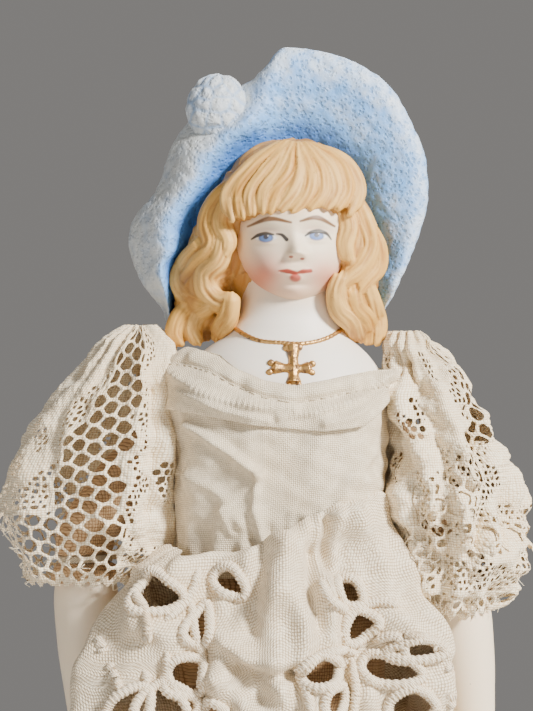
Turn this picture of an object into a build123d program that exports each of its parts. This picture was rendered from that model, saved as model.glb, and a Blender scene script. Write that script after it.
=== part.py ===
"""A nine-and-a-half inch shoulder-head doll: bisque head, forearms and lower legs on a stuffed muslin body, in a cotton dress.

Millimetres. +Z is up, the doll faces -Y, and its own left side is +X. The origin is on the floor between the soles.
"""

from build123d import *
from math import cos, radians, sin
import os

# ---- Driving dimensions ------------------------------------------------------------------------------------
HEIGHT = 240.0  # soles to the top of the hat
FIT_GAP = 0.15  # between a cloth cover and what it holds
CLOTH = 0.4  # muslin thickness
BISQUE_WALL = 1.8

NECK_HEIGHT = 197.0
SIT_AXIS_HEIGHT = 123.8  # the seam that folds when the doll sits
LEG_AXIS_HEIGHT = 121.4  # each leg's own seam, under the fold
LEG_SPACING = 9.5  # each leg from the middle
SEAM_RADIUS = 0.9
KNEE_HEIGHT = 66.0  # where the bisque of a leg ends

SHOULDER = (18.9, 1.5, 180.5)  # where an arm is stitched on
SHOULDER_NECK_RADIUS, SHOULDER_EDGE_RADIUS = 0.95, 1.2
UPPER_ARM_LENGTH = 24.0
LEFT_UPPER_ARM_SPREAD, LEFT_FOREARM_SPREAD = 22.0, 7.0  # degrees from hanging straight down
RIGHT_UPPER_ARM_SPREAD, RIGHT_FOREARM_SPREAD = 33.0, -2.0
PLATE_ARMHOLE_RADIUS, BODICE_ARMHOLE_RADIUS = 5.8, 7.5
ARMHOLE_BOTTOM = 166.0

SEW_HOLE_RADIUS = 0.7
SEW_HOLE_X, SEW_HOLE_HEIGHT = 8.0, 175.0
THREAD_RADIUS = 0.35

BODICE_WALL, SKIRT_WALL, SLEEVE_WALL = 1.0, 1.8, 1.0
SKIRT_TOP, SKIRT_HEM = 162.0, 45.0
WAIST_THREAD_HEIGHT = 160.4
NECKLINE_MIDDLE, NECKLINE_RADIUS = 210.0, 26.0
BAND_BOTTOM = 176.5
BUTTON_HEIGHTS = (165.0, 171.0, 177.0)
BUTTON_RADIUS, BUTTON_THICKNESS = 1.5, 0.8
SLEEVE_INNER_X = 20.2  # the flat side of a sleeve, next to the bodice
LEFT_SLEEVE_FULLNESS, RIGHT_SLEEVE_FULLNESS = 12.2, 14.6
LEFT_SLEEVE_SPREAD, RIGHT_SLEEVE_SPREAD = 17.0, 26.0

# Ovals, bottom to top: height, half width, half depth, and how far the oval's middle is behind the doll's.
TORSO = [(125, 12, 3, 0), (129, 15, 6.5, 0), (136, 17, 10, 0), (144, 16.6, 10.6, 0), (160, 13.4, 9.4, 0),
         (173, 13.8, 8.6, 0), (180, 12.8, 7.6, 0.5), (185, 8, 5.5, 0.5)]
PLATE_OUTSIDE = [(172.5, 16.4, 11.5, 0), (180, 16.8, 11.4, 0), (187, 16.2, 10.4, 0.3), (191.2, 12.8, 8.8, 0.5),
                 (194.2, 8.4, 7.2, 0.8), (NECK_HEIGHT, 7.4, 6.8, 1), (202, 7.4, 7, 1)]
PLATE_INSIDE = [(172.4, 14.6, 9.7, 0), (180, 15, 9.6, 0), (185.2, 14, 8.4, 0.3), (189, 9.6, 6.6, 0.5),
                (192.4, 4.8, 4.4, 0.8), (NECK_HEIGHT, 3.8, 3.8, 1), (206, 3.8, 3.8, 1)]
BODICE_INSIDE = [(159, 13.9, 10.1, 0), (165, 14.7, 11.5, 0), (171, 16.8, 12.9, 0), (180, 17.4, 13, 0),
                 (188, 17.3, 12.3, 0.2)]
HAIR = [(191.6, 17, 4.6, 3.6), (200, 16.4, 6.6, 3), (208, 14.6, 8.8, 2), (216, 11.4, 9.4, 1.5),
        (222, 6.6, 7, 1.5), (224.8, 3, 3, 1.5)]
SKIRT = [(SKIRT_HEM, 50, 40, 0), (60, 46.5, 37.6, 0), (85, 38, 32, 0), (108, 28.6, 26, 0), (125, 23.4, 21.6, 0),
         (140, 20.4, 18, 0), (152, 18.3, 15.4, 0), (SKIRT_TOP, 17.1, 14.6, 0)]
BOOT = [(0, 3.8, 9.9, -2.6), (2.4, 4.2, 10.2, -2.6), (6, 3.9, 8.2, -1.6), (10, 3.6, 5.8, -0.6), (15, 3.5, 4.2, 0.3)]
CALF = [(15, 3.5, 4.2, 0.3), (22, 4.1, 4.6, 0.4), (38, 5.4, 5.9, 0.7), (50, 5.2, 5.5, 0.4)]

# Ovals along a limb from its seam: distance, half width, half depth.
UPPER_ARM = [(1.6, 0.9, 2.2), (6, 2.9, 3.2), (12, 3.9, 3.9), (18, 4.5, 4.5), (UPPER_ARM_LENGTH, 4.7, 4.7)]
FOREARM = [(4.4, 4.4, 4.4), (8, 5.2, 5.2), (15, 5.1, 5.1), (23, 4.3, 4.3), (30, 3.3, 3.4), (35, 2.5, 2.9),
           (39, 2.1, 3.5), (42.5, 1.8, 3.2), (45, 1, 1.8)]
THIGH = [(1.3, 6.6, 1), (8, 7.3, 4), (17, 7.5, 6.5), (30, 6.7, 6.4), (42, 5.9, 5.9)]
THUMB = [(33, 1.4, 1.4), (37, 1.2, 1.2), (40.5, 0.8, 0.8)]
THUMB_FORWARD = 3.1

# The hat's rim seen from the front, clockwise from its lower tip on the doll's right.
HAT_RIM = [(-19.1, 197.1), (-23.4, 203.5), (-24.7, 208.6), (-22.6, 214.5), (-18.5, 221.5), (-16.5, 227),
           (-10.5, 231.5), (-4.4, 235.4), (2.4, HEIGHT), (9.2, 238.8), (16.2, 235), (21.8, 227.5), (24, 217.7),
           (22.4, 209.5), (20.6, 203.7), (16.4, 196.2), (8, 194.5), (-10, 194.8)]
HAT_MIDDLE = (0.5, 217.0)
HAT_FRONT, HAT_BACK = -2.0, 15.0  # where the rim and the crown's flat back lie
CROWN_SHARE = 0.6  # the crown's size beside the rim's
ROSETTE_MIDDLE, ROSETTE_RADIUS = (-10.8, -1.0, 230.0), 5.4
FACE_MIDDLE, FACE_HALF_WIDTH, FACE_HALF_HEIGHT = (2.2, -0.8, 209.6), 9.4, 11.6
HEAD_HOLLOW_MIDDLE, HEAD_HOLLOW_RADIUS = (1.2, 3.6, 211.5), 8.4


# ---- Helpers -----------------------------------------------------------------------------------------------
def save(piece, name):
    """Labels a finished piece and writes it."""
    piece.label = name
    export_step(piece, f"parts/{name}.step")


def oval_stack(ovals, shrink=0.0, middle_x=0.0, ruled=False):
    """A solid lofted through level ovals, each smaller all round by shrink."""
    with BuildPart() as stack:
        for height, half_width, half_depth, back in ovals:
            with BuildSketch(Plane.XY.offset(height)):
                with Locations((middle_x, back)):
                    Ellipse(half_width - shrink, half_depth - shrink)
        loft(ruled=ruled)
    return stack.part


def with_ends_moved(ovals, inwards):
    """The same ovals with the two end ones moved along the stack."""
    first, *between, last = ovals
    return [(first[0] + inwards, *first[1:]), *between, (last[0] - inwards, *last[1:])]


def limb_stack(plane, ovals, shrink=0.0):
    """A solid lofted through ovals square to a limb, at distances along the plane's normal."""
    with BuildPart() as stack:
        for distance, half_width, half_depth in ovals:
            with BuildSketch(plane.offset(distance)):
                Ellipse(half_width - shrink, half_depth - shrink)
        loft()
    return stack.part


def ring(plane, outline):
    """A ring turned about a limb's axis, from an outline of (radius, distance) points."""
    side = Plane(plane.origin, x_dir=plane.x_dir, z_dir=-plane.y_dir)
    with BuildPart() as turned:
        with BuildSketch(side):
            with BuildLine():
                Polyline(*outline, close=True)
            make_face()
        revolve(axis=Axis(plane.origin, plane.z_dir))
    return turned.part


def ball(middle, radius):
    with BuildPart(Plane(middle)) as sphere:
        Sphere(radius)
    return sphere.part


def limb_plane(origin, spread):
    """A plane whose normal runs down a limb that leans out by spread degrees, with local x across the doll."""
    down = Vector(sin(radians(spread)), 0, -cos(radians(spread)))
    across = Vector(cos(radians(spread)), 0, sin(radians(spread)))
    return Plane(origin, x_dir=across, z_dir=down)


def stem(plane, radius, scale):
    """The grooved end of a bisque limb, which the cloth is tied round."""
    with BuildPart() as end:
        with BuildSketch(plane):
            Circle(radius)
        extrude(amount=1.2 * scale)
        with BuildSketch(plane.offset(1.2 * scale)):
            Circle(radius - 0.8 * scale)
        extrude(amount=3.3 * scale)
    return end.part


def cuff(plane, radius, scale):
    """The open end of a cloth limb: over the bisque's flange, drawn into its groove, and out to a frill."""
    over, drawn, flared, frill = radius + 0.2, radius - 0.65 * scale, radius + 0.7, radius + 1.0
    inside = [(over, -1), (over, 1.4), (drawn, 1.9), (drawn, 3.7), (flared, 4.2), (frill, 6.3)]
    outside = [(frill, 6.3), (flared, 3.9), (drawn, 3.4), (drawn, 2.2), (over, 1.7), (over, -1)]
    outline = [(r, d * scale) for r, d in inside] + [(r + CLOTH, d * scale) for r, d in outside]
    return ring(plane, outline)


def binding(plane, radius, scale):
    """The thread wound round the cuff in the groove."""
    inner = radius - 0.65 * scale + CLOTH + 0.06
    outer = inner + 0.7 * scale
    near, far = 2.4 * scale, 3.2 * scale
    return ring(plane, [(inner, near), (outer, near), (outer, far), (inner, far)])


def save_cloth_limb(name, parts, plane, ovals, elbow, cuff_plane, stem_radius, scale):
    """Writes a stuffed cloth limb: its cover, which turns at the elbow and ends in a cuff, and its stuffing."""
    joint_radius = stem_radius + 0.2
    first, *rest = ovals
    tube = limb_stack(plane, ovals)
    tube_inside = limb_stack(plane, [(first[0] + CLOTH, *first[1:]), *rest], shrink=CLOTH)
    filling = limb_stack(plane, [(first[0] + 2 * CLOTH, *first[1:]), *rest], shrink=CLOTH + FIT_GAP)
    with BuildPart() as cover:
        add(tube)
        add(ball(elbow, joint_radius + CLOTH))
        add(tube_inside, mode=Mode.SUBTRACT)
        add(ball(elbow, joint_radius), mode=Mode.SUBTRACT)
        with BuildSketch(cuff_plane.offset(-scale)):
            Circle(4 * stem_radius)
        extrude(amount=8 * stem_radius, mode=Mode.SUBTRACT)
        add(cuff(cuff_plane, stem_radius, scale))
    with BuildPart() as stuffing:
        add(filling)
        add(ball(elbow, joint_radius - FIT_GAP))
        with BuildSketch(cuff_plane.offset(-1.02 * scale)):
            Circle(4 * stem_radius)
        extrude(amount=8 * stem_radius, mode=Mode.SUBTRACT)
    save(cover.part, f"{parts}_cover_{name}")
    save(stuffing.part, f"{parts}_stuffing_{name}")


def hat_shape(front, back, rim_share, crown_share):
    """A solid lofted from a rim in front to a crown behind, each the rim's outline drawn in to a share."""
    middle_x, middle_z = HAT_MIDDLE
    with BuildPart() as shape:
        for depth, share in ((front, rim_share), (back, crown_share)):
            points = [(middle_x + share * (x - middle_x), middle_z + share * (z - middle_z)) for x, z in HAT_RIM]
            with BuildSketch(Plane.XZ.offset(-depth)):
                with BuildLine():
                    Spline(*points, periodic=True)
                make_face()
        loft()
    return shape.part


def armholes(radius):
    """The openings at the doll's sides, where the arms come out under the shoulder plate and through the dress."""
    drop = SHOULDER[2] - ARMHOLE_BOTTOM
    with BuildPart() as holes:
        for side in (1, -1):
            with BuildSketch(Plane.YZ.offset(side * 11)):
                with Locations((SHOULDER[1], SHOULDER[2])):
                    Circle(radius)
                    Rectangle(2 * radius, drop, align=(Align.CENTER, Align.MAX))
            extrude(amount=side * 12)
    return holes.part


os.makedirs("parts", exist_ok=True)

# ---- Shoulder head: one hollow bisque casting with its hair, hat and neck -----------------------------------
plate_outside = oval_stack(PLATE_OUTSIDE)
plate_inside = oval_stack(PLATE_INSIDE)
hair_mass = oval_stack(HAIR, middle_x=0.6)
hat_outside = hat_shape(HAT_FRONT, HAT_BACK, 1, CROWN_SHARE)
hat_inside = hat_shape(HAT_FRONT - 0.1, HAT_BACK - BISQUE_WALL, 0.93, CROWN_SHARE - 0.1)
plate_armholes = armholes(PLATE_ARMHOLE_RADIUS)

with BuildPart() as shoulder_head:
    add(hat_outside)
    add(hat_inside, mode=Mode.SUBTRACT)
    add(ball(ROSETTE_MIDDLE, ROSETTE_RADIUS))
    add(hair_mass)
    with BuildSketch(Plane(FACE_MIDDLE, x_dir=(1, 0, 0), z_dir=(0, -1, 0))):  # half of an oval, turned
        Ellipse(FACE_HALF_WIDTH, FACE_HALF_HEIGHT)
        Rectangle(20, 30, align=(Align.MIN, Align.CENTER), mode=Mode.SUBTRACT)
    revolve(axis=Axis(FACE_MIDDLE, (0, 0, 1)))
    add(plate_outside)
    add(plate_inside, mode=Mode.SUBTRACT)
    add(ball(HEAD_HOLLOW_MIDDLE, HEAD_HOLLOW_RADIUS), mode=Mode.SUBTRACT)
    add(plate_armholes, mode=Mode.SUBTRACT)
    with BuildSketch(Plane.XZ.offset(-20)):
        with Locations((SEW_HOLE_X, SEW_HOLE_HEIGHT), (-SEW_HOLE_X, SEW_HOLE_HEIGHT)):
            Circle(SEW_HOLE_RADIUS)
    extrude(amount=40, mode=Mode.SUBTRACT)
save(shoulder_head.part, "shoulder_head")

# Four stitches go through the plate's holes and round its rim, two in front and two behind.
with BuildPart() as plate_stitches:
    for x in (SEW_HOLE_X, -SEW_HOLE_X):
        for side in (1, -1):
            inner, outer, below = side * 7.7, side * 10.7, SEW_HOLE_HEIGHT - 3.4
            with BuildLine() as loop:
                FilletPolyline(
                    (x, inner, SEW_HOLE_HEIGHT),
                    (x, outer, SEW_HOLE_HEIGHT),
                    (x, outer, below),
                    (x, inner, below),
                    radius=0.8,
                )
            with BuildSketch(Plane((x, inner, SEW_HOLE_HEIGHT), z_dir=(0, side, 0))):
                Circle(THREAD_RADIUS)
            sweep(path=loop.line)
save(plate_stitches.part, "shoulder_plate_stitches")

# ---- Torso ---------------------------------------------------------------------------------------------------
torso_outside = oval_stack(TORSO)
torso_inside = oval_stack(with_ends_moved(TORSO, CLOTH), shrink=CLOTH)
with BuildPart() as torso_cover:
    add(torso_outside)
    add(torso_inside, mode=Mode.SUBTRACT)
save(torso_cover.part, "torso_cover")
save(oval_stack(with_ends_moved(TORSO, 2 * CLOTH), shrink=CLOTH + FIT_GAP), "torso_stuffing")

# ---- Arms ----------------------------------------------------------------------------------------------------
ARM_STEM_RADIUS = 4.1

for name, side, upper_spread, fore_spread in (
    ("left", 1, LEFT_UPPER_ARM_SPREAD, LEFT_FOREARM_SPREAD),
    ("right", -1, RIGHT_UPPER_ARM_SPREAD, RIGHT_FOREARM_SPREAD),
):
    shoulder = Vector(side * SHOULDER[0], SHOULDER[1], SHOULDER[2])
    upper_plane = limb_plane(shoulder, side * upper_spread)
    elbow = shoulder + upper_plane.z_dir * UPPER_ARM_LENGTH
    fore_plane = limb_plane(elbow, side * fore_spread).offset(1)

    # The seam that joins the arm to the torso: a gathered neck of cloth across, and a whipped edge along Y.
    with BuildPart() as shoulder_seam:
        with BuildSketch(Plane.YZ.offset(side * 12.95)):
            with Locations((SHOULDER[1], SHOULDER[2])):
                Circle(SHOULDER_NECK_RADIUS)
        extrude(amount=side * (SHOULDER[0] - 12.95))
        with BuildSketch(Plane(shoulder, z_dir=(0, 1, 0))):
            Circle(SHOULDER_EDGE_RADIUS)
        extrude(amount=2.4, both=True)
    save(shoulder_seam.part, f"shoulder_seam_{name}")

    save_cloth_limb(name, "upper_arm", upper_plane, UPPER_ARM, elbow, fore_plane, ARM_STEM_RADIUS, 1)
    save(binding(fore_plane, ARM_STEM_RADIUS, 1), f"arm_binding_{name}")

    thumb_origin = fore_plane.origin + fore_plane.y_dir * THUMB_FORWARD
    thumb = limb_stack(Plane(thumb_origin, x_dir=fore_plane.x_dir, z_dir=fore_plane.z_dir), THUMB)
    hand_and_forearm = limb_stack(fore_plane, FOREARM)
    with BuildPart() as forearm:
        add(hand_and_forearm)
        add(thumb)
        add(stem(fore_plane, ARM_STEM_RADIUS, 1))
    save(forearm.part, f"forearm_{name}")

# ---- Legs ----------------------------------------------------------------------------------------------------
LEG_STEM_RADIUS, LEG_SCALE = 5.1, 1.15
STEM_BOTTOM = KNEE_HEIGHT - 4.4 * LEG_SCALE

# The flat flap of unstuffed cloth that both legs hang from, with a stitched roll along each edge.
with BuildPart() as hip_seam:
    with BuildSketch(Plane.YZ.offset(-13)):
        with Locations((0, SIT_AXIS_HEIGHT), (0, LEG_AXIS_HEIGHT)):
            Circle(SEAM_RADIUS)
        with Locations((0, (SIT_AXIS_HEIGHT + LEG_AXIS_HEIGHT) / 2)):
            Rectangle(1, SIT_AXIS_HEIGHT - LEG_AXIS_HEIGHT)
    extrude(amount=26)
save(hip_seam.part, "hip_seam")

for name, side in (("left", 1), ("right", -1)):
    middle_x = side * LEG_SPACING
    hip_plane = limb_plane(Vector(middle_x, 0, LEG_AXIS_HEIGHT), 0)
    knee_plane = limb_plane(Vector(middle_x, 0, KNEE_HEIGHT), 0)
    knee = Vector(middle_x, 0, KNEE_HEIGHT + LEG_SCALE)
    thigh = [*THIGH, (LEG_AXIS_HEIGHT - knee.Z, LEG_STEM_RADIUS + 0.2 + CLOTH, LEG_STEM_RADIUS + 0.2 + CLOTH)]
    save_cloth_limb(name, "thigh", hip_plane, thigh, knee, knee_plane, LEG_STEM_RADIUS, LEG_SCALE)
    save(binding(knee_plane, LEG_STEM_RADIUS, LEG_SCALE), f"leg_binding_{name}")
    boot = oval_stack(BOOT, middle_x=middle_x, ruled=True)
    calf = oval_stack([*CALF, (STEM_BOTTOM, LEG_STEM_RADIUS, LEG_STEM_RADIUS, 0)], middle_x=middle_x)
    with BuildPart() as lower_leg:
        add(boot)
        add(calf)
        add(stem(knee_plane, LEG_STEM_RADIUS, LEG_SCALE))
    save(lower_leg.part, f"lower_leg_{name}")

# ---- Dress ---------------------------------------------------------------------------------------------------
bodice_inside = oval_stack(BODICE_INSIDE)
bodice_outside = oval_stack(with_ends_moved(BODICE_INSIDE, 0.01), shrink=-BODICE_WALL)
bodice_armholes = armholes(BODICE_ARMHOLE_RADIUS)
with BuildPart() as neckline:
    with BuildSketch(Plane.XZ.offset(-30)):
        with Locations((0, NECKLINE_MIDDLE)):
            Circle(NECKLINE_RADIUS)
    extrude(amount=60)

with BuildPart() as bodice:
    add(bodice_outside)
    add(bodice_inside, mode=Mode.SUBTRACT)
    add(neckline.part, mode=Mode.SUBTRACT)
    add(bodice_armholes, mode=Mode.SUBTRACT)
save(bodice.part, "bodice")

# A folded band lies across the chest, over the bodice's front.
band_inside = oval_stack(BODICE_INSIDE, shrink=-BODICE_WALL - 0.1)
band_outside = oval_stack(with_ends_moved(BODICE_INSIDE, 0.01), shrink=-BODICE_WALL - 1)
with BuildPart() as bodice_band:
    add(band_outside)
    add(band_inside, mode=Mode.SUBTRACT)
    add(neckline.part, mode=Mode.SUBTRACT)
    with BuildSketch(Plane.XY.offset(BAND_BOTTOM)):
        Rectangle(60, 60)
    extrude(amount=-30, mode=Mode.SUBTRACT)
    with BuildSketch(Plane.XZ.offset(8)):  # leaves only the front
        with Locations((0, BAND_BOTTOM)):
            Rectangle(60, 60)
    extrude(amount=-40, mode=Mode.SUBTRACT)
save(bodice_band.part, "bodice_band")

with BuildPart() as buttons:
    for height in BUTTON_HEIGHTS:
        edges = [Axis((0, 0, height + up), (0, 1, 0)) for up in (-BUTTON_RADIUS, 0, BUTTON_RADIUS)]
        back_y = max(point.Y for edge in edges for point, _ in bodice.part.find_intersection_points(edge))
        with BuildSketch(Plane((0, back_y + 0.02, height), z_dir=(0, 1, 0))):
            Circle(BUTTON_RADIUS)
        extrude(amount=BUTTON_THICKNESS)
save(buttons.part, "back_buttons")

skirt_outside = oval_stack(SKIRT)
skirt_inside = oval_stack(with_ends_moved(SKIRT, -0.1), shrink=SKIRT_WALL)
with BuildPart() as skirt:
    add(skirt_outside)
    add(skirt_inside, mode=Mode.SUBTRACT)
save(skirt.part, "skirt")

with BuildPart() as waist_thread:
    with BuildSketch(Plane.XY.offset(WAIST_THREAD_HEIGHT)):
        Ellipse(18, 15.6)
        Ellipse(17.4, 15, mode=Mode.SUBTRACT)
    extrude(amount=0.8)
save(waist_thread.part, "waist_thread")

# Puffed sleeves, turned about each upper arm and flat where they meet the bodice.
for name, side, spread, fullness in (
    ("left", 1, LEFT_SLEEVE_SPREAD, LEFT_SLEEVE_FULLNESS),
    ("right", -1, RIGHT_SLEEVE_SPREAD, RIGHT_SLEEVE_FULLNESS),
):
    plane = limb_plane(Vector(side * SHOULDER[0], SHOULDER[1], SHOULDER[2]), side * spread)
    shares = [(2, 0.68), (12, 0.94), (22, 1), (30, 0.86)]
    puff = [(distance, share * fullness, share * fullness) for distance, share in shares]
    end_radius = 0.62 * fullness
    puff_outside = limb_stack(plane, [(-4, 5, 5), *puff, (36, end_radius, end_radius)])
    puff_inside = limb_stack(plane, [(-5, 4.6, 4.6), *puff, (36.5, end_radius, end_radius)], shrink=SLEEVE_WALL)
    with BuildPart() as sleeve:
        add(puff_outside)
        add(puff_inside, mode=Mode.SUBTRACT)
        with BuildSketch(Plane.YZ.offset(side * SLEEVE_INNER_X)):
            with Locations((0, SHOULDER[2])):
                Rectangle(60, 120)
        extrude(amount=-side * 60, mode=Mode.SUBTRACT)
    save(sleeve.part, f"sleeve_{name}")
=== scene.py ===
"""The looks of a hatted shoulder-head doll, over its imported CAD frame.

Shapes are worked out in millimetres: +Z is up, the doll faces -Y and its own left side is +X.
"""

from math import cos, pi, radians, sin, sqrt

import bpy
import numpy as np
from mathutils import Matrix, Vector


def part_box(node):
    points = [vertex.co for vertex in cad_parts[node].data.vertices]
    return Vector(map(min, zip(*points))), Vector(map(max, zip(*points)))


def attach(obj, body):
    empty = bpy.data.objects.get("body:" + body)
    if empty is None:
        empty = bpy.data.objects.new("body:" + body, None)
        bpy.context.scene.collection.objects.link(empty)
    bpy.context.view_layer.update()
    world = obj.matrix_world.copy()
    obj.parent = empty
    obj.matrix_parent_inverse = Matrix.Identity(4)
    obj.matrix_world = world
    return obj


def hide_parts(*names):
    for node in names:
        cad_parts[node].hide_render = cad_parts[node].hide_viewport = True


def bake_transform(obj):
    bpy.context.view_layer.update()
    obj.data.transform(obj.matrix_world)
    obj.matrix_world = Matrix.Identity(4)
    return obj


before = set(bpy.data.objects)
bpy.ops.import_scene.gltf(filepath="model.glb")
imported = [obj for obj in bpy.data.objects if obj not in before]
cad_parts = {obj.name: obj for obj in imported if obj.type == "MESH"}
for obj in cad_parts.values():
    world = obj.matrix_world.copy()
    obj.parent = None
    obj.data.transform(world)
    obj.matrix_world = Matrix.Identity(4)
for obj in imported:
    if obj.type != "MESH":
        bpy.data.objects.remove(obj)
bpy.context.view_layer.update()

MM = 0.001
FRONT = -pi / 2  # the angle about +Z that faces -Y


# ---- Places read from the frame ----------------------------------------------
def middle_of(node):
    """The middle of a CAD node's box, in millimetres."""
    low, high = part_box(node)
    return (np.array(low) + np.array(high)) / 2 / MM


def top_of(node):
    """The height of a CAD node's top."""
    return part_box(node)[1][2] / MM


def bottom_of(node):
    """The height of a CAD node's bottom."""
    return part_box(node)[0][2] / MM


SKIRT_HEM = bottom_of("skirt")
# Each arm's cloth leans out from hanging straight down, and its bisque forearm leans less.
SHOULDERS = {side: middle_of(f"shoulder_seam_{side}") for side in ("left", "right")}
UPPER_LEAN = {"left": radians(22), "right": radians(33)}
FOREARM_LEAN = {"left": radians(7), "right": radians(-2)}


# ---- Numbers -----------------------------------------------------------------
def curve(knots, values, at):
    """A smooth curve through values at rising knots."""
    knots, values, at = np.asarray(knots, float), np.asarray(values, float), np.asarray(at, float)
    slopes = np.gradient(values, knots, axis=0)
    step = np.clip(np.searchsorted(knots, at) - 1, 0, len(knots) - 2)
    width = knots[step + 1] - knots[step]
    t = np.clip((at - knots[step]) / width, 0, 1)
    if values.ndim > 1:
        t, width = t[..., None], width[..., None]
    ends = (2 * t**3 - 3 * t**2 + 1) * values[step] + (3 * t**2 - 2 * t**3) * values[step + 1]
    return ends + ((t**3 - 2 * t**2 + t) * slopes[step] + (t**3 - t**2) * slopes[step + 1]) * width


def spread(values, count):
    """A table's rows, with others between them, so that there are count of them."""
    return curve(np.arange(len(values)), values, np.linspace(0, len(values) - 1, count))


def through(points, count, closed=False):
    """Evenly spread points of a smooth path through a few."""
    points = np.asarray(points, float)
    if closed:
        points = np.concatenate([points[-2:], points, points[:3]])
    along = np.concatenate([[0], np.cumsum(np.linalg.norm(np.diff(points, axis=0), axis=1))])
    first, last = (along[2], along[-3]) if closed else (0, along[-1])
    return curve(along, points, np.linspace(first, last, count, endpoint=not closed))


def length_of(path):
    """The length of a path of points."""
    return np.linalg.norm(np.diff(path, axis=0), axis=1).sum()


def step_between(low, high, value):
    """0 below low, 1 above high, smooth between."""
    t = np.clip((value - low) / (high - low), 0, 1)
    return t * t * (3 - 2 * t)


def spot(x, z, at, size):
    """A soft spot of height 1."""
    return np.exp(-(((x - at[0]) / size[0]) ** 2) - ((z - at[1]) / size[1]) ** 2)


def wrapped(angle):
    """The same angle between -pi and pi."""
    return np.mod(angle + pi, 2 * pi) - pi


def outward(angle):
    """Level ways out from the Z axis."""
    return np.stack([np.cos(angle), np.sin(angle), np.zeros_like(angle)], axis=-1)


def squared(turn, power):
    """A circle's X and Y for angles, squared off where the power is above 2."""
    across, forward = np.cos(turn), np.sin(turn)
    return np.sign(across) * abs(across) ** (2 / power), np.sign(forward) * abs(forward) ** (2 / power)


def unit(vectors):
    """The same vectors with length 1."""
    return vectors / np.maximum(np.linalg.norm(vectors, axis=1), 1e-12)[:, None]


def rumple(points, size, seed, waves=9):
    """Uneven smooth height, mostly between -1 and 1, with bumps of about the size."""
    chance = np.random.default_rng(seed)
    ways = chance.normal(size=(waves, np.shape(points)[-1]))
    ways *= (pi / size * chance.uniform(0.6, 1.5, waves) / np.linalg.norm(ways, axis=1))[:, None]
    return np.sin(points @ ways.T + chance.uniform(0, 2 * pi, waves)).sum(axis=-1) / sqrt(waves)


def chance_at(row, column, seed):
    """A fixed number from 0 to 1 for each place in a lattice."""
    value = np.sin(row * 127.1 + column * 311.7 + seed * 74.7) * 43758.5453
    return value - np.floor(value)


def cell_walls(u, v, width, height, uneven, seed, round_by=0.0):
    """The distance from each point to the nearest wall of an uneven honeycomb."""
    row = np.floor(v / height)
    seeds = []
    for up in (-1, 0, 1, 2):
        line = row + up
        shift = 0.5 * (line % 2)
        first = np.floor(u / width - shift)
        for across in (-1, 0, 1, 2):
            column = first + across
            x = (column + shift + uneven * (chance_at(line, column, seed) - 0.5)) * width
            y = (line + uneven * (chance_at(line, column, seed + 5) - 0.5)) * height
            seeds.append((x, y))
    xs, ys = np.array(seeds).transpose(1, 0, *range(2, u.ndim + 2))
    own = ((u - xs) ** 2 + (v - ys) ** 2).argmin(axis=0)[None]
    own_x, own_y = np.take_along_axis(xs, own, 0)[0], np.take_along_axis(ys, own, 0)[0]
    walls = []
    for x, y in seeds:
        apart = np.hypot(x - own_x, y - own_y)
        wall = (x - own_x) * ((own_x + x) / 2 - u) + (y - own_y) * ((own_y + y) / 2 - v)
        wall = wall / np.maximum(apart, 1e-9)
        walls.append(np.where(apart < 1e-6, 1e3, wall))
    walls = np.stack(walls)
    if round_by:  # the least wall, rounded where two meet
        return -round_by * np.log(np.exp(-np.clip(walls, -5, 30) / round_by).sum(axis=0))
    return walls.min(axis=0)


# ---- Meshes ------------------------------------------------------------------
def grid_faces(rows, columns, closed):
    """The quads of a grid of points, row by row; closed joins the last column to the first."""
    across = columns if closed else columns - 1
    row, column = np.meshgrid(np.arange(rows - 1) * columns, np.arange(across), indexing="ij")
    after = (column + 1) % columns
    corners = [row + column, row + after, row + columns + after, row + columns + column]
    return np.stack(corners, axis=-1).reshape(-1, 4)


def fan(ring, tip, along):
    """Triangles between a ring of point numbers and a tip; along is whether they run the ring's way."""
    pair = (ring, np.roll(ring, -1)) if along else (np.roll(ring, -1), ring)
    return np.stack([np.full(len(ring), tip), *pair], axis=1)


def closed_skin(rings, ends):
    """A skin through rings of points, fanned shut on to a point at each end."""
    rows, columns = rings.shape[:2]
    count, first = rows * columns, np.arange(columns)
    last = first + count - columns
    faces = [grid_faces(rows, columns, True), fan(first, count, False), fan(last, count + 1, True)]
    return np.concatenate([rings.reshape(-1, 3), ends]), faces


def joined(shapes):
    """Several (points, faces) shapes as one, where faces is a list of arrays."""
    points, faces, count = [], [], 0
    for shape_points, shape_faces in shapes:
        points.append(shape_points)
        faces.extend(group + count for group in shape_faces)
        count += len(shape_points)
    return np.concatenate(points), faces


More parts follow.
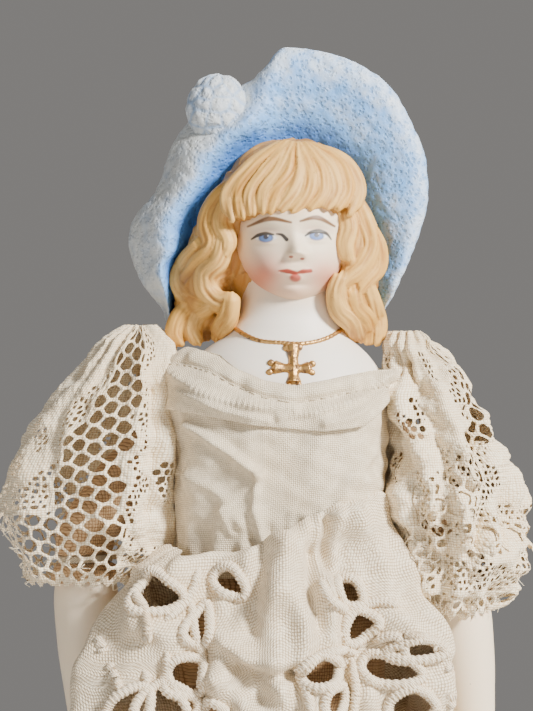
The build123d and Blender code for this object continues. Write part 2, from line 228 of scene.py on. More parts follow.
def make_mesh(name, points, faces, uv=None, paint=None):
    """A smooth-shaded mesh object with no material yet; uv is in millimetres, paint is linear RGB."""
    faces = [np.asarray(group, np.int32) for group in faces if len(group)]
    mesh = bpy.data.meshes.new(name)
    mesh.vertices.add(len(points))
    mesh.vertices.foreach_set("co", (np.asarray(points, float) * MM).astype(np.float32).ravel())
    loops = np.concatenate([group.ravel() for group in faces])
    sizes = np.concatenate([np.full(len(group), group.shape[1], np.int32) for group in faces])
    mesh.loops.add(len(loops))
    mesh.loops.foreach_set("vertex_index", loops)
    mesh.polygons.add(len(sizes))
    mesh.polygons.foreach_set("loop_start", np.concatenate([[0], np.cumsum(sizes)[:-1]]).astype(np.int32))
    mesh.update(calc_edges=True)
    mesh.validate()
    mesh.polygons.foreach_set("use_smooth", np.ones(len(mesh.polygons), bool))
    order = np.zeros(len(mesh.loops), np.int32)
    mesh.loops.foreach_get("vertex_index", order)
    if uv is not None:
        mesh.uv_layers.new(name="Cloth").data.foreach_set("uv", np.asarray(uv, np.float32)[order].ravel())
    if paint is not None:
        colours = np.ones((len(points), 4), np.float32)
        colours[:, :3] = paint
        mesh.color_attributes.new("paint", "FLOAT_COLOR", "POINT").data.foreach_set("color", colours.ravel())
    piece = bpy.data.objects.new(name, mesh)
    bpy.context.scene.collection.objects.link(piece)
    return piece


def arc_lengths(points):
    """The UV of a grid of points: how far each is along its row from the middle, and down its column."""
    across = np.linalg.norm(np.diff(points, axis=1), axis=2).cumsum(axis=1)
    across = np.concatenate([np.zeros((len(points), 1)), across], axis=1)
    across -= across[:, [points.shape[1] // 2]]
    down = np.linalg.norm(np.diff(points, axis=0), axis=2).cumsum(axis=0)
    down = np.concatenate([np.zeros((1, points.shape[1])), down])
    return np.column_stack([across.ravel(), down.ravel()])


def raised_by(points, folds):
    """How far folds, seen from the front as (path, height, width), raise each point that faces forward."""
    front = step_between(0, -5, points[:, 1])
    out = np.zeros(len(points))
    for path, high, wide in folds:
        path = through(path, 26)
        low, top = path[:, 1].min() - 3 * wide, path[:, 1].max() + 3 * wide
        near = np.flatnonzero((points[:, 2] > low) & (points[:, 2] < top) & (front > 0))
        apart = points[near][:, None, [0, 2]] - path[None]
        apart = np.hypot(apart[..., 0], apart[..., 1]).min(axis=1)
        out[near] += front[near] * high * np.exp(-((apart / wide) ** 2))
    return out


def normals_of(points, faces):
    """Unit normals at the points."""
    total = np.zeros_like(points)
    for group in faces:
        corners = points[group]
        normal = np.cross(corners[:, 2] - corners[:, 0], corners[:, -1] - corners[:, 1])
        for column in range(group.shape[1]):
            np.add.at(total, group[:, column], normal)
    return unit(total)


def tube(path, radius, sides=8, closed=False, normals=None):
    """A tube along a path; the radius may vary along it, and open ends are closed by cones."""
    path = np.asarray(path, float)
    count = len(path)
    along = unit(np.roll(path, -1, 0) - np.roll(path, 1, 0) if closed else np.gradient(path, axis=0))
    if normals is None:
        normals = np.empty_like(path)
        last = np.array([0.3, 0.2, 1.0]) if abs(along[0][2]) < 0.8 else np.array([1.0, 0.3, 0.0])
        for i, way in enumerate(along):
            last = last - way * (last @ way)
            last /= np.linalg.norm(last)
            normals[i] = last
    else:
        normals = unit(normals - along * (normals * along).sum(axis=1)[:, None])
    across = np.cross(along, normals)
    turn = np.arange(sides) / sides * 2 * pi
    radius = np.broadcast_to(radius, count)[:, None, None]
    ring = normals[:, None] * np.cos(turn)[None, :, None] + across[:, None] * np.sin(turn)[None, :, None]
    rings = path[:, None] + radius * ring
    if closed:
        return rings.reshape(-1, 3), [grid_faces(count + 1, sides, True) % (count * sides)]
    cone = 0.6
    ends = np.stack([path[0] - along[0] * radius[0, 0] * cone, path[-1] + along[-1] * radius[-1, 0] * cone])
    return closed_skin(rings, ends)


def ellipsoid(middle, radii, rows, columns):
    """A closed oval ball."""
    up = np.linspace(-pi / 2, pi / 2, rows + 2)[1:-1, None]
    turn = np.arange(columns)[None] / columns * 2 * pi
    unit = np.stack([np.cos(up) * np.cos(turn), np.cos(up) * np.sin(turn), np.sin(up) + 0 * turn], axis=-1)
    points, faces = closed_skin(unit, [[0, 0, -1], [0, 0, 1]])
    return np.asarray(middle) + points * np.asarray(radii), faces


def fused(shapes, voxel, smooth=4):
    """One skin round closed shapes that overlap, as points and quads."""
    rough = make_mesh("rough", *joined(shapes))
    remesh = rough.modifiers.new("skin", "REMESH")
    remesh.mode, remesh.voxel_size, remesh.use_smooth_shade = "VOXEL", voxel * MM, True
    soften = rough.modifiers.new("soften", "SMOOTH")
    soften.factor, soften.iterations = 0.5, smooth
    shown = rough.evaluated_get(bpy.context.evaluated_depsgraph_get())
    mesh = shown.to_mesh()
    points = np.zeros(len(mesh.vertices) * 3, np.float32)
    mesh.vertices.foreach_get("co", points)
    corners = np.zeros(len(mesh.loops), np.int32)
    mesh.loops.foreach_get("vertex_index", corners)
    shown.to_mesh_clear()
    bpy.data.objects.remove(rough, do_unlink=True)
    return points.reshape(-1, 3).astype(float) / MM, [corners.reshape(-1, 4)]


def cut_out(points, faces, cloth):
    """Keeps a sheet where cloth, the distance in from its edge, is positive, with the edge drawn to zero."""
    group = faces[0]
    group = group[(cloth[group] > 0).any(axis=1)]
    a = group.ravel()
    b = np.roll(group, -1, axis=1).ravel()
    a, b = np.concatenate([a, b]), np.concatenate([b, a])
    crossing = (cloth[a] <= 0) & (cloth[b] > 0)
    a, b = a[crossing], b[crossing]
    share = (cloth[b] / (cloth[b] - cloth[a]))[:, None]
    total, hits = np.zeros_like(points), np.zeros(len(points))
    np.add.at(total, a, points[b] + (points[a] - points[b]) * share)
    np.add.at(hits, a, 1)
    points = points.copy()
    moved = hits > 0
    points[moved] = total[moved] / hits[moved][:, None]
    group = group[((cloth[group] > 0) | moved[group]).all(axis=1)]
    used, renumbered = np.unique(group, return_inverse=True)
    return points[used], [renumbered.reshape(-1, 4)], used


# ---- Materials ---------------------------------------------------------------
def linear(red, green, blue):
    """An sRGB colour from 0 to 255 as linear RGB."""
    value = np.array([red, green, blue]) / 255
    return np.where(value <= 0.04045, value / 12.92, ((value + 0.055) / 1.055) ** 2.4)


def rgba(*colour):
    """An sRGB colour from 0 to 255 as a node's colour."""
    return (*linear(*colour), 1.0)


class Shader:
    """A Principled material that is built node by node."""

    def __init__(self, name, roughness=0.6, colour=(128, 128, 128)):
        self.material = bpy.data.materials.new(name)
        self.material.use_nodes = True
        self.tree = self.material.node_tree
        self.surface = self.tree.nodes["Principled BSDF"]
        self.set("Roughness", roughness)
        self.set("Base Color", rgba(*colour))

    def node(self, kind, inputs=None, **settings):
        """A new node, with its inputs linked or set."""
        made = self.tree.nodes.new(kind)
        for key, value in settings.items():
            setattr(made, key, value)
        for key, value in (inputs or {}).items():
            self.put(made.inputs[key], value)
        return made

    def put(self, socket, value):
        """Links another node's output to a socket, or sets the socket's own value."""
        if isinstance(value, bpy.types.NodeSocket):
            self.tree.links.new(value, socket)
        else:
            socket.default_value = value

    def set(self, socket, value):
        """Links or sets an input of the surface."""
        self.put(self.surface.inputs[socket], value)

    def sum(self, operation, a, b=0.0, c=0.0):
        """Arithmetic on one to three values."""
        return self.node("ShaderNodeMath", {0: a, 1: b, 2: c}, operation=operation).outputs[0]

    def mix(self, share, a, b):
        """Colour a, with a share of colour b laid over it."""
        return self.node("ShaderNodeMix", {0: share, 6: a, 7: b}, data_type="RGBA").outputs[2]

    def ramp(self, value, low, high):
        """0 at low, 1 at high, smooth between."""
        inputs = {"Value": value, "From Min": low, "From Max": high}
        return self.node("ShaderNodeMapRange", inputs, interpolation_type="SMOOTHSTEP").outputs[0]

    def place(self):
        """The place in the object."""
        return self.node("ShaderNodeTexCoord").outputs["Object"]

    def cloth_uv(self):
        """The UV that make_mesh stores."""
        return self.node("ShaderNodeUVMap", uv_map="Cloth").outputs["UV"]

    def split(self, vector):
        """The X, Y and Z of a vector."""
        return self.node("ShaderNodeSeparateXYZ", {"Vector": vector}).outputs

    def channels(self):
        """The red, green and blue of the paint."""
        return self.node("ShaderNodeSeparateColor", {"Color": self.paint()}).outputs

    def noise(self, size, detail=3.0):
        """Noise from 0 to 1 with features of about the size, in millimetres."""
        inputs = {"Scale": 1 / (size * MM), "Detail": detail, "Roughness": 0.55, "Vector": self.place()}
        return self.node("ShaderNodeTexNoise", inputs).outputs["Fac"]

    def stain(self, amount, strength, base, colour):
        """A base with a stain laid over it, where a pattern from 0 to 1 is high."""
        return self.mix(self.sum("MULTIPLY", amount, strength), base, rgba(*colour))

    def glow(self, weight, radius, scale):
        """Light that scatters under the surface."""
        self.set("Subsurface Weight", weight)
        self.set("Subsurface Radius", radius)
        self.set("Subsurface Scale", scale * MM)

    def paint(self):
        """The colour painted on each point."""
        return self.node("ShaderNodeVertexColor", layer_name="paint").outputs["Color"]

    def bump(self, height, depth, under=None):
        """Bumps of a depth in millimetres."""
        inputs = {"Height": height, "Distance": depth * MM, "Strength": 1.0}
        if under:
            inputs["Normal"] = under
        return self.node("ShaderNodeBump", inputs).outputs["Normal"]


def bisque(name, colour=None, specks=0.5):
    """Unglazed china: waxy, finely grained, with kiln specks; painted by vertex where no colour is given."""
    shader = Shader(name)
    base = rgba(*colour) if colour else shader.paint()
    cloudy = shader.ramp(shader.noise(6), 0.35, 0.7)
    base = shader.stain(cloudy, 0.10, base, (214, 204, 186))
    spots = shader.ramp(shader.noise(0.9, 1.0), 0.80, 0.84)
    base = shader.stain(spots, specks, base, (120, 98, 78))
    shader.set("Base Color", base)
    grain = shader.noise(0.12, 2.0)
    shader.set("Roughness", shader.sum("MULTIPLY_ADD", grain, 0.16, 0.44))
    shader.glow(0.12, (1.0, 0.6, 0.4), 0.6)
    shader.set("Normal", shader.bump(grain, 0.012))
    return shader.material


def stippled_blue():
    """White bisque dabbed with blue that lies in its pits.

    The paint's red says how blue it is, its green how deep the blue is, and its blue how much painted shade
    greys it.
    """
    shader = Shader("hat_stipple")
    amount = shader.channels()
    place = shader.place()
    inputs = {"Vector": place, "Scale": 900.0, "Detail": 2.0}
    wander = shader.node("ShaderNodeTexNoise", inputs).outputs["Color"]
    bend = {0: wander, 1: (0.8 * MM,) * 3}
    bent = shader.node("ShaderNodeVectorMath", bend, operation="MULTIPLY").outputs[0]
    place = shader.node("ShaderNodeVectorMath", {0: place, 1: bent}, operation="ADD").outputs[0]
    inputs = {"Vector": place, "Scale": 1380.0, "Randomness": 1.0}
    pits = shader.node("ShaderNodeTexVoronoi", inputs).outputs["Distance"]
    pit = shader.ramp(pits, 0.52, 0.2)
    cloud = shader.noise(3.2, 3.0)
    wash = shader.sum("MULTIPLY_ADD", shader.sum("SUBTRACT", cloud, 0.5), 1.3, amount["Red"])
    base = shader.mix(shader.ramp(wash, -0.25, 0.75), rgba(214, 224, 232), rgba(112, 170, 234))
    base = shader.mix(shader.sum("MULTIPLY", pit, shader.ramp(wash, -0.1, 0.6)), base, rgba(112, 156, 202))
    deep = shader.sum("MULTIPLY_ADD", shader.sum("SUBTRACT", cloud, 0.5), 0.8, amount["Green"])
    deep = shader.sum("MULTIPLY_ADD", pit, 0.25, deep)
    base = shader.mix(shader.ramp(deep, 0.1, 1.15), base, rgba(70, 126, 206))
    # Painted shade: a warm grey laid where the paint's blue is high, on the fold's outer part and on the
    # rosette.
    base = shader.stain(amount["Blue"], 0.55, base, (176, 172, 158))
    grime = shader.ramp(shader.noise(0.5, 1.0), 0.74, 0.8)
    base = shader.stain(grime, 0.25, base, (140, 132, 120))
    shader.set("Base Color", base)
    shader.set("Roughness", shader.sum("MULTIPLY_ADD", shader.noise(0.2), 0.16, 0.46))
    shader.glow(0.08, (1.0, 0.8, 0.7), 0.5)
    shader.set("Normal", shader.bump(shader.sum("MULTIPLY_ADD", pit, -1.0, shader.noise(0.5, 2.0)), 0.09))
    return shader.material


def painted_hair():
    """Matt blond paint; the UV runs along each lock, and darker brushed strands follow it."""
    shader = Shader("blond_paint", 0.6)
    inputs = {"Vector": shader.cloth_uv(), "Scale": (0.14, 1.1, 1.0)}
    stretched = shader.node("ShaderNodeMapping", inputs).outputs["Vector"]
    inputs = {"Vector": stretched, "Scale": 1.6, "Detail": 3.0}
    strands = shader.node("ShaderNodeTexNoise", inputs).outputs["Fac"]
    dark = shader.sum("MULTIPLY", shader.ramp(strands, 0.46, 0.74), 0.55)
    base = shader.mix(dark, shader.paint(), rgba(160, 98, 30))
    wear = shader.ramp(shader.noise(2.2, 4.0), 0.52, 0.72)
    base = shader.stain(wear, 0.3, base, (238, 196, 116))
    speck = shader.ramp(shader.noise(0.35, 1.0), 0.70, 0.78)
    base = shader.stain(speck, 0.4, base, (140, 92, 44))
    shader.set("Base Color", base)
    shader.set("Normal", shader.bump(strands, 0.05))
    return shader.material


def gilding():
    """Fired gold, worn to brown bisque in places."""
    shader = Shader("worn_gold", 0.4)
    worn = shader.ramp(shader.noise(0.9, 4.0), 0.50, 0.62)
    shader.set("Base Color", shader.mix(worn, rgba(198, 156, 96), rgba(112, 82, 52)))
    shader.set("Metallic", shader.sum("MULTIPLY_ADD", worn, -0.6, 0.95))
    shader.set("Roughness", shader.sum("MULTIPLY_ADD", shader.noise(0.3), 0.3, 0.26))
    shader.set("Normal", shader.bump(shader.noise(0.35, 3.0), 0.06))
    return shader.material


def woven(name, colour, dark, threads, depth=0.06, slubs=0.35, stain=None, object_space=False):
    """Plain-weave cloth; threads is how many to a millimetre, along the UV or straight through the object."""
    shader = Shader(name, 0.85)
    if object_space:
        at = shader.split(shader.place())
        across = shader.sum("MULTIPLY", shader.sum("ADD", at["X"], at["Y"]), 1 / MM)
        down = shader.sum("MULTIPLY", at["Z"], 1 / MM)
    else:
        at = shader.split(shader.cloth_uv())
        across, down = at["X"], at["Y"]
    wander = shader.sum("MULTIPLY", shader.noise(2.5, 2.0), 0.9 / threads)
    warp = shader.sum("SINE", shader.sum("MULTIPLY", shader.sum("ADD", across, wander), pi * threads))
    weft = shader.sum("SINE", shader.sum("MULTIPLY", shader.sum("ADD", down, wander), pi * threads))
    crossing = shader.sum("MULTIPLY", warp, weft)
    height = shader.sum("MULTIPLY_ADD", crossing, 0.35, shader.sum("ABSOLUTE", crossing))
    # Painted shade: the gaps between the threads take the dark colour, the threads the light one.
    base = shader.mix(shader.ramp(height, 0.0, 0.5), rgba(*dark), rgba(*colour))
    thick = shader.ramp(shader.noise(1.3, 4.0), 0.45, 0.7)
    base = shader.stain(thick, slubs, base, [min(255, c + 14) for c in colour])
    aged = shader.ramp(shader.noise(16, 3.0), 0.45, 0.72)
    base = shader.stain(aged, 0.3, base, stain or dark)
    shader.set("Base Color", base)
    shader.set("Sheen Weight", 0.12)
    shader.set("Sheen Roughness", 0.5)
    lumps = shader.bump(shader.noise(1.1, 4.0), 0.05)
    shader.set("Normal", shader.bump(height, depth, lumps))
    return shader.material


def twisted(name, colour, dark, pitch=0.5):
    """Cotton thread or cord: fine diagonal plies and fluff."""
    shader = Shader(name, 0.85)
    at = shader.split(shader.place())
    diagonal = shader.sum("ADD", shader.sum("ADD", at["X"], at["Y"]), at["Z"])
    plies = shader.sum("SINE", shader.sum("MULTIPLY", diagonal, 2 / MM * pi / pitch))
    fluff = shader.noise(0.3, 4.0)
    height = shader.sum("MULTIPLY_ADD", plies, 0.25, fluff)
    # Painted shade in the grooves between the plies, with darker and lighter tone at random from the fluff.
    base = shader.mix(shader.ramp(height, 0.2, 0.8), rgba(*dark), rgba(*colour))
    shader.set("Base Color", base)
    shader.set("Sheen Weight", 0.12)
    shader.set("Normal", shader.bump(height, 0.05))
    return shader.material


def glossy_boot():
    """A boot painted and glazed dark brown over a white leg; paint holds the colour."""
    shader = Shader("boot_glaze")
    shader.set("Base Color", shader.paint())
    pale = shader.ramp(shader.channels()["Red"], 0.1, 0.5)
    shader.set("Roughness", shader.sum("MULTIPLY_ADD", pale, 0.38, 0.16))
    shader.set("Normal", shader.bump(shader.noise(0.8, 2.0), 0.02))
    return shader.material


BISQUE = bisque("bisque_white", (238, 220, 192))
COMPLEXION = bisque("bisque_painted", specks=0.35)
HAT = stippled_blue()
HAIR = painted_hair()
GOLD = gilding()
# Each cloth's and thread's second colour is the painted shade between its threads or plies.
LINEN = woven("linen", (241, 227, 200), (184, 162, 126), 3.0, 0.085, stain=(214, 190, 150))
COTTON = woven("cutwork_cotton", (244, 229, 202), (172, 148, 112), 1.95, 0.10, stain=(212, 186, 146))
LACE = woven("lace_cotton", (250, 237, 210), (204, 176, 134), 2.5, 0.08, stain=(224, 196, 150))
CORD = twisted("corded_edge", (249, 238, 216), (190, 164, 126))
THREAD = twisted("sewing_thread", (226, 214, 190), (170, 150, 118), 0.3)
MUSLIN = woven("tan_muslin", (208, 172, 128), (142, 106, 68), 1.9, 0.08, stain=(186, 146, 102),
               object_space=True)
BOOT = glossy_boot()
BUTTON = bisque("china_button", (240, 238, 232), specks=0.0)


def finish_piece(piece, body, material, replaces=(), blend=None):
    """Gives a piece its material and makes it move with a body, or, given a blend, bakes its place into its
    points and leaves it unattached.
    """
    piece.data.materials.append(material)
    if replaces:
        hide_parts(*replaces)
    if blend:
        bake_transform(piece)
    else:
        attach(piece, body)
    return piece


def dress_node(node, material):
    """Gives a CAD node whose shape is right a better material."""
    shown = bpy.data.objects[node] if node in bpy.data.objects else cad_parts[node]
    shown.data.materials.clear()
    shown.data.materials.append(material)


# ---- Camera, lights and stage ------------------------------------------------
VIEW_MIDDLE = np.array([-2.2, 0, 189.7])
VIEW_DISTANCE = 460.0
SEEN_HEIGHT = 113.8
FACE_DEPTH = 8.0  # how far the face is in front of the doll's middle
FLOOR_RADIUS = 900.0
FLOOR_SIDES = 96
FLOOR_DROP = 0.05  # how far the floor is below the boots
# Each light's place, what it points at and its size, in metres, then its power and colour.
LIGHTS = {
    "key": ((0.52, -0.44, 0.56), (0, 0, 0.17), 0.16, 18.5, (1.0, 0.97, 0.93)),
    "fill": ((-0.45, -0.6, 0.22), (0, 0, 0.16), 0.5, 1.5, (0.96, 0.97, 1.0)),
    "rim": ((0.1, 0.5, 0.55), (0, 0, 0.18), 0.4, 3.0, (1, 1, 1)),
}


def camera():
    """Straight on to the doll's upper half, as in the photograph."""
    data = bpy.data.cameras.new("view")
    data.sensor_fit, data.sensor_height = "VERTICAL", 24.0
    data.lens = data.sensor_height * VIEW_DISTANCE / SEEN_HEIGHT
    data.clip_start = 0.01
    seen_from = bpy.data.objects.new("view", data)
    seen_from.location = (VIEW_MIDDLE - [0, VIEW_DISTANCE + FACE_DEPTH, 0]) * MM
    seen_from.rotation_euler = (pi / 2, 0, 0)
    bpy.context.scene.collection.objects.link(seen_from)
    bpy.context.scene.camera = seen_from


def light(name, place, target, size, power, colour):
    """A round area light."""
    data = bpy.data.lights.new(name, "AREA")
    data.shape, data.size, data.energy, data.color = "DISK", size, power, colour
    lamp = bpy.data.objects.new(name, data)
    lamp.location = place
    way = np.array(target) - np.array(place)
    lamp.rotation_euler = Vector(way).to_track_quat("-Z", "Y").to_euler()
    bpy.context.scene.collection.objects.link(lamp)


def stage():
    """A plain pale floor, soft light from the upper right, and a pale surround."""
    turn = np.arange(FLOOR_SIDES) / FLOOR_SIDES * 2 * pi
    edge = FLOOR_RADIUS * outward(turn) - [0, 0, FLOOR_DROP]
    floor = make_mesh("floor", edge, [np.arange(FLOOR_SIDES)[None]])
    floor.data.materials.append(Shader("floor", 0.9, (214, 210, 204)).material)
    for name, settings in LIGHTS.items():
        light(name, *settings)
    world = bpy.data.worlds.new("studio")
    world.use_nodes = True
    surround = world.node_tree.nodes["Background"].inputs
    surround["Color"].default_value = (0.86, 0.83, 0.80, 1)
    surround["Strength"].default_value = 0.25
    bpy.context.scene.world = world


camera()
stage()


# ---- Painting ----------------------------------------------------------------
def stroke(x, z, path, thick, soft=0.12):
    """How much a brush stroke along a path covers each point; thick is its half width along it."""
    path, thick = np.asarray(path, float), np.broadcast_to(thick, len(path))
    smooth_path = through(path, 40)
    widths = np.interp(np.linspace(0, 1, 40), np.linspace(0, 1, len(path)), thick)
    apart = np.hypot(x[:, None] - smooth_path[:, 0], z[:, None] - smooth_path[:, 1]) - widths
    return step_between(soft, -soft, apart.min(axis=1))


def blot(x, z, at, size, soft=0.25):
    """How much an oval dab covers each point."""
    return step_between(1 + soft, 1 - soft, np.hypot((x - at[0]) / size[0], (z - at[1]) / size[1]))


def lay(paint, colour, cover):
    """Paints a colour over what is there."""
    return paint + (linear(*colour) - paint) * np.clip(cover, 0, 1)[:, None]


# ---- Head --------------------------------------------------------------------
# The face's oval, then its features as (x, z) seen from the front; each lash also has its half widths.
FACE = np.array([2.2, -0.8, 209.6])
FACE_SIZE = np.array([9.7, 9.4, 11.7])
EYES = ((-2.3, 208.55), (5.8, 208.85))
NOSE = (2.8, 206.1)
BROWS = ([(-5.2, 210.4), (-1.6, 211.5), (1.7, 210.9)], [(3.2, 211.1), (5.7, 211.7), (8.7, 210.4)])
LASHES = (
    ([(-4.6, 208.35), (-3.5, 208.95), (-2.2, 209.2), (-1.1, 209.0)], (0.09, 0.2, 0.2, 0.1)),
    ([(-0.6, 209.1), (0.2, 208.95), (1.0, 208.2)], (0.08, 0.18, 0.22)),
    ([(4.0, 208.8), (5.0, 209.4), (6.3, 209.55), (7.5, 209.1), (8.15, 208.3)], (0.1, 0.2, 0.24, 0.18, 0.08)),
)
LIP_LINE = [(0.0, 203.05), (1.4, 202.85), (2.5, 202.6), (3.6, 202.85), (5.0, 203.05)]
UPPER_LIP = ([(-0.25, 203.2), (1.1, 203.15), (2.45, 202.8)], [(2.45, 202.8), (3.7, 203.1), (4.8, 203.2)])


def face_relief(x, z):
    """How far the modelled features stand forward of a plain oval, in millimetres."""
    height = 0.35 * spot(x, z, (1.9, 213.5), (7.5, 4.0))
    for eye_x, eye_z in EYES:
        height -= 0.80 * spot(x, z, (eye_x, eye_z + 0.2), (2.9, 1.6))
        height += 0.62 * spot(x, z, (eye_x, eye_z - 0.2), (1.9, 0.9))
        height += 0.16 * spot(x, z, (eye_x, eye_z + 0.6), (1.9, 0.28))
        height += 0.10 * spot(x, z, (eye_x, eye_z - 0.95), (1.6, 0.3))
        height += 0.22 * spot(x, z, (eye_x, eye_z + 2.5), (2.9, 0.8))
    bridge = 0.3 + 0.95 * step_between(209.8, 206.2, z)
    middle = 2.1 + 0.6 * step_between(210.5, 206.0, z)
    along = step_between(205.0, 206.2, z) * step_between(212.0, 209.0, z)
    height += bridge * along * np.exp(-(((x - middle) / (1.05 + 0.3 * step_between(209, 206, z))) ** 2))
    height += 0.65 * spot(x, z, NOSE, (1.0, 0.9))
    for wing in (-1.05, 1.0):
        height += 0.6 * spot(x, z, (NOSE[0] + wing, NOSE[1] - 0.4), (0.62, 0.62))
    height -= 0.2 * spot(x, z, (2.6, 204.6), (1.4, 0.45))
    height += 0.5 * spot(x, z, (2.5, 203.0), (3.2, 1.3))
    for bow in (-1.1, 1.2):
        height += 0.26 * spot(x, z, (2.4 + bow, 203.3), (1.2, 0.36))
    height += 0.42 * spot(x, z, (2.45, 202.05), (0.95, 0.5))
    height -= 0.26 * stroke(x, z, LIP_LINE, 0.02, 0.3)
    height -= 0.3 * spot(x, z, (2.4, 201.0), (2.0, 0.45))
    height += 0.9 * spot(x, z, (2.3, 199.6), (2.7, 1.5))
    for cheek in ((-3.0, 202.9), (7.0, 202.9)):
        height += 0.85 * spot(x, z, cheek, (3.1, 2.8))
    return height


def face_paint(x, z):
    """Pale flesh, blushed cheeks, single-stroke brows, blue eyes and a small red mouth, with painted shade
    under the fringe, round the chin, at the sides and about the eyes.
    """
    paint = np.tile(linear(240, 222, 194), (len(x), 1))
    # Painted shade: tan under the fringe, round the chin and towards the sides of the face.
    paint = lay(paint, (226, 194, 150), 0.75 * spot(x, z, (2, 215), (9, 3.6)))
    paint = lay(paint, (222, 192, 152), 0.55 * spot(x, z, (2.2, 198.4), (7, 2.0)))
    paint = lay(paint, (222, 190, 148), 0.5 * step_between(6.0, 9.3, abs(x - 2.2)))
    for cheek, size, cover in (((-2.9, 202.4), 3.7, 0.85), ((7.2, 202.4), 3.0, 0.68)):
        paint = lay(paint, (200, 100, 72), cover * spot(x, z, cheek, (size, size * 0.95)))
    paint = lay(paint, (222, 150, 122), 0.3 * spot(x, z, (2.3, 199.6), (2.6, 1.4)))
    for brow in BROWS:
        paint = lay(paint, (104, 64, 20), 0.97 * stroke(x, z, brow, (0.16, 0.42, 0.18), 0.14))
    for (eye_x, eye_z), wide in zip(EYES, (1.7, 1.8)):
        # Painted shade in the crease above each eye.
        paint = lay(paint, (198, 160, 140), 0.45 * blot(x, z, (eye_x, eye_z + 0.8), (wide + 0.6, 0.75), 0.5))
        paint = lay(paint, (240, 240, 236), blot(x, z, (eye_x, eye_z - 0.05), (wide, 0.62)))
        paint = lay(paint, (44, 68, 122), blot(x, z, (eye_x, eye_z - 0.05), (1.2, 0.76), 0.18))
        paint = lay(paint, (86, 122, 182), blot(x, z, (eye_x, eye_z - 0.12), (1.0, 0.6), 0.25))
        paint = lay(paint, (22, 26, 50), blot(x, z, (eye_x, eye_z + 0.08), (0.42, 0.36), 0.25))
        paint = lay(paint, (246, 246, 244), 0.8 * blot(x, z, (eye_x + 0.34, eye_z + 0.3), (0.11, 0.11), 0.3))
        # Painted shade along the lower lid.
        lower_lid_shade = [(eye_x - wide, eye_z - 0.3), (eye_x, eye_z - 0.8), (eye_x + wide, eye_z - 0.3)]
        paint = lay(paint, (196, 150, 126), 0.5 * stroke(x, z, lower_lid_shade, (0.04, 0.08, 0.04), 0.12))
    for path, thick in LASHES:
        paint = lay(paint, (24, 16, 16), stroke(x, z, path, 1.5 * np.array(thick), 0.1))
    for path in UPPER_LIP:
        paint = lay(paint, (172, 56, 36), 0.97 * stroke(x, z, path, (0.09, 0.38, 0.32), 0.14))
    paint = lay(paint, (176, 60, 40), 0.95 * blot(x, z, (2.4, 202.1), (0.92, 0.66), 0.3))
    for nostril in ((1.7, 205.4), (3.5, 205.1)):
        paint = lay(paint, (146, 58, 38), 0.9 * blot(x, z, nostril, (0.36, 0.2)))
    return paint


def face():
    """The front of the head: an oval that turns back under the hair, with its features and painting."""
    rows, columns = 300, 300
    up = np.linspace(-1, 1, rows)
    up = radians(88) * (0.82 * up + 0.18 * up**3)
    turn = np.linspace(-1, 1, columns)
    turn = radians(112) * (0.62 * turn + 0.38 * turn**3)
    up, turn = np.meshgrid(up, turn, indexing="ij")
    jaw = np.where(up < 0, (1 - abs(np.sin(up)) ** 2.6) ** (1 / 2.6), np.cos(up))
    x, y, z = np.sin(turn) * jaw, -np.cos(turn) * jaw, np.sin(up)
    narrow = 1 - 0.21 * step_between(-0.2, -0.95, z)
    points = FACE + np.stack([x * narrow, y, z], axis=-1).reshape(-1, 3) * FACE_SIZE
    forward = step_between(0.0, 0.5, -y).ravel()
    points[:, 1] -= face_relief(points[:, 0], points[:, 2]) * forward
    paint = face_paint(points[:, 0], points[:, 2])
    paint = lay(paint, (236, 232, 226), 0.7 * step_between(0.28, 0.12, -y.ravel()))
    return points, [grid_faces(rows, columns, False)], paint


# Level ovals of the neck and shoulder plate: height, half width, half depth, middle's y and x.
PLATE_OUTSIDE = [(172.5, 16.4, 11.5, 0, 0), (176, 16.7, 11.5, 0, 0), (180, 16.8, 11.4, 0, 0),
                 (184, 16.7, 11.0, 0.1, 0.1), (187, 16.0, 10.4, 0.3, 0.3), (189.4, 14.2, 9.5, 0.4, 0.5),
                 (191.2, 12.2, 8.7, 0.5, 0.7), (192.8, 10.2, 7.9, 0.6, 0.9), (194.6, 8.9, 7.3, 0.6, 1.0),
                 (197, 8.1, 7.0, 0.8, 1.1), (202, 8.0, 7.2, 1, 1.1), (206, 8.0, 7.2, 1, 1.1)]
PLATE_INSIDE = [(205, 4.0, 3.8, 1, 1.1), (197, 4.0, 3.8, 1, 1.1), (192.6, 5.0, 4.4, 0.8, 0.8),
                (189, 9.4, 6.6, 0.5, 0.4), (185.2, 14, 8.4, 0.3, 0), (180, 15, 9.6, 0, 0),
                (172.6, 14.6, 9.7, 0, 0)]


def level_ovals(ovals, rows, columns, squareness=2.0):
    """Points of a skin through level ovals: height, half width, half depth, middle's y and x."""
    ovals = np.array(ovals, float)
    if ovals.shape[1] == 4:
        ovals = np.column_stack([ovals, np.zeros(len(ovals))])
    height, wide, deep, back, middle = spread(ovals, rows).T
    turn = FRONT + np.arange(columns) / columns * 2 * pi
    across, forward = squared(turn, squareness)
    x = middle[:, None] + wide[:, None] * across
    y = back[:, None] + deep[:, None] * forward
    return np.stack([x, y, np.broadcast_to(height[:, None], x.shape)], axis=-1)


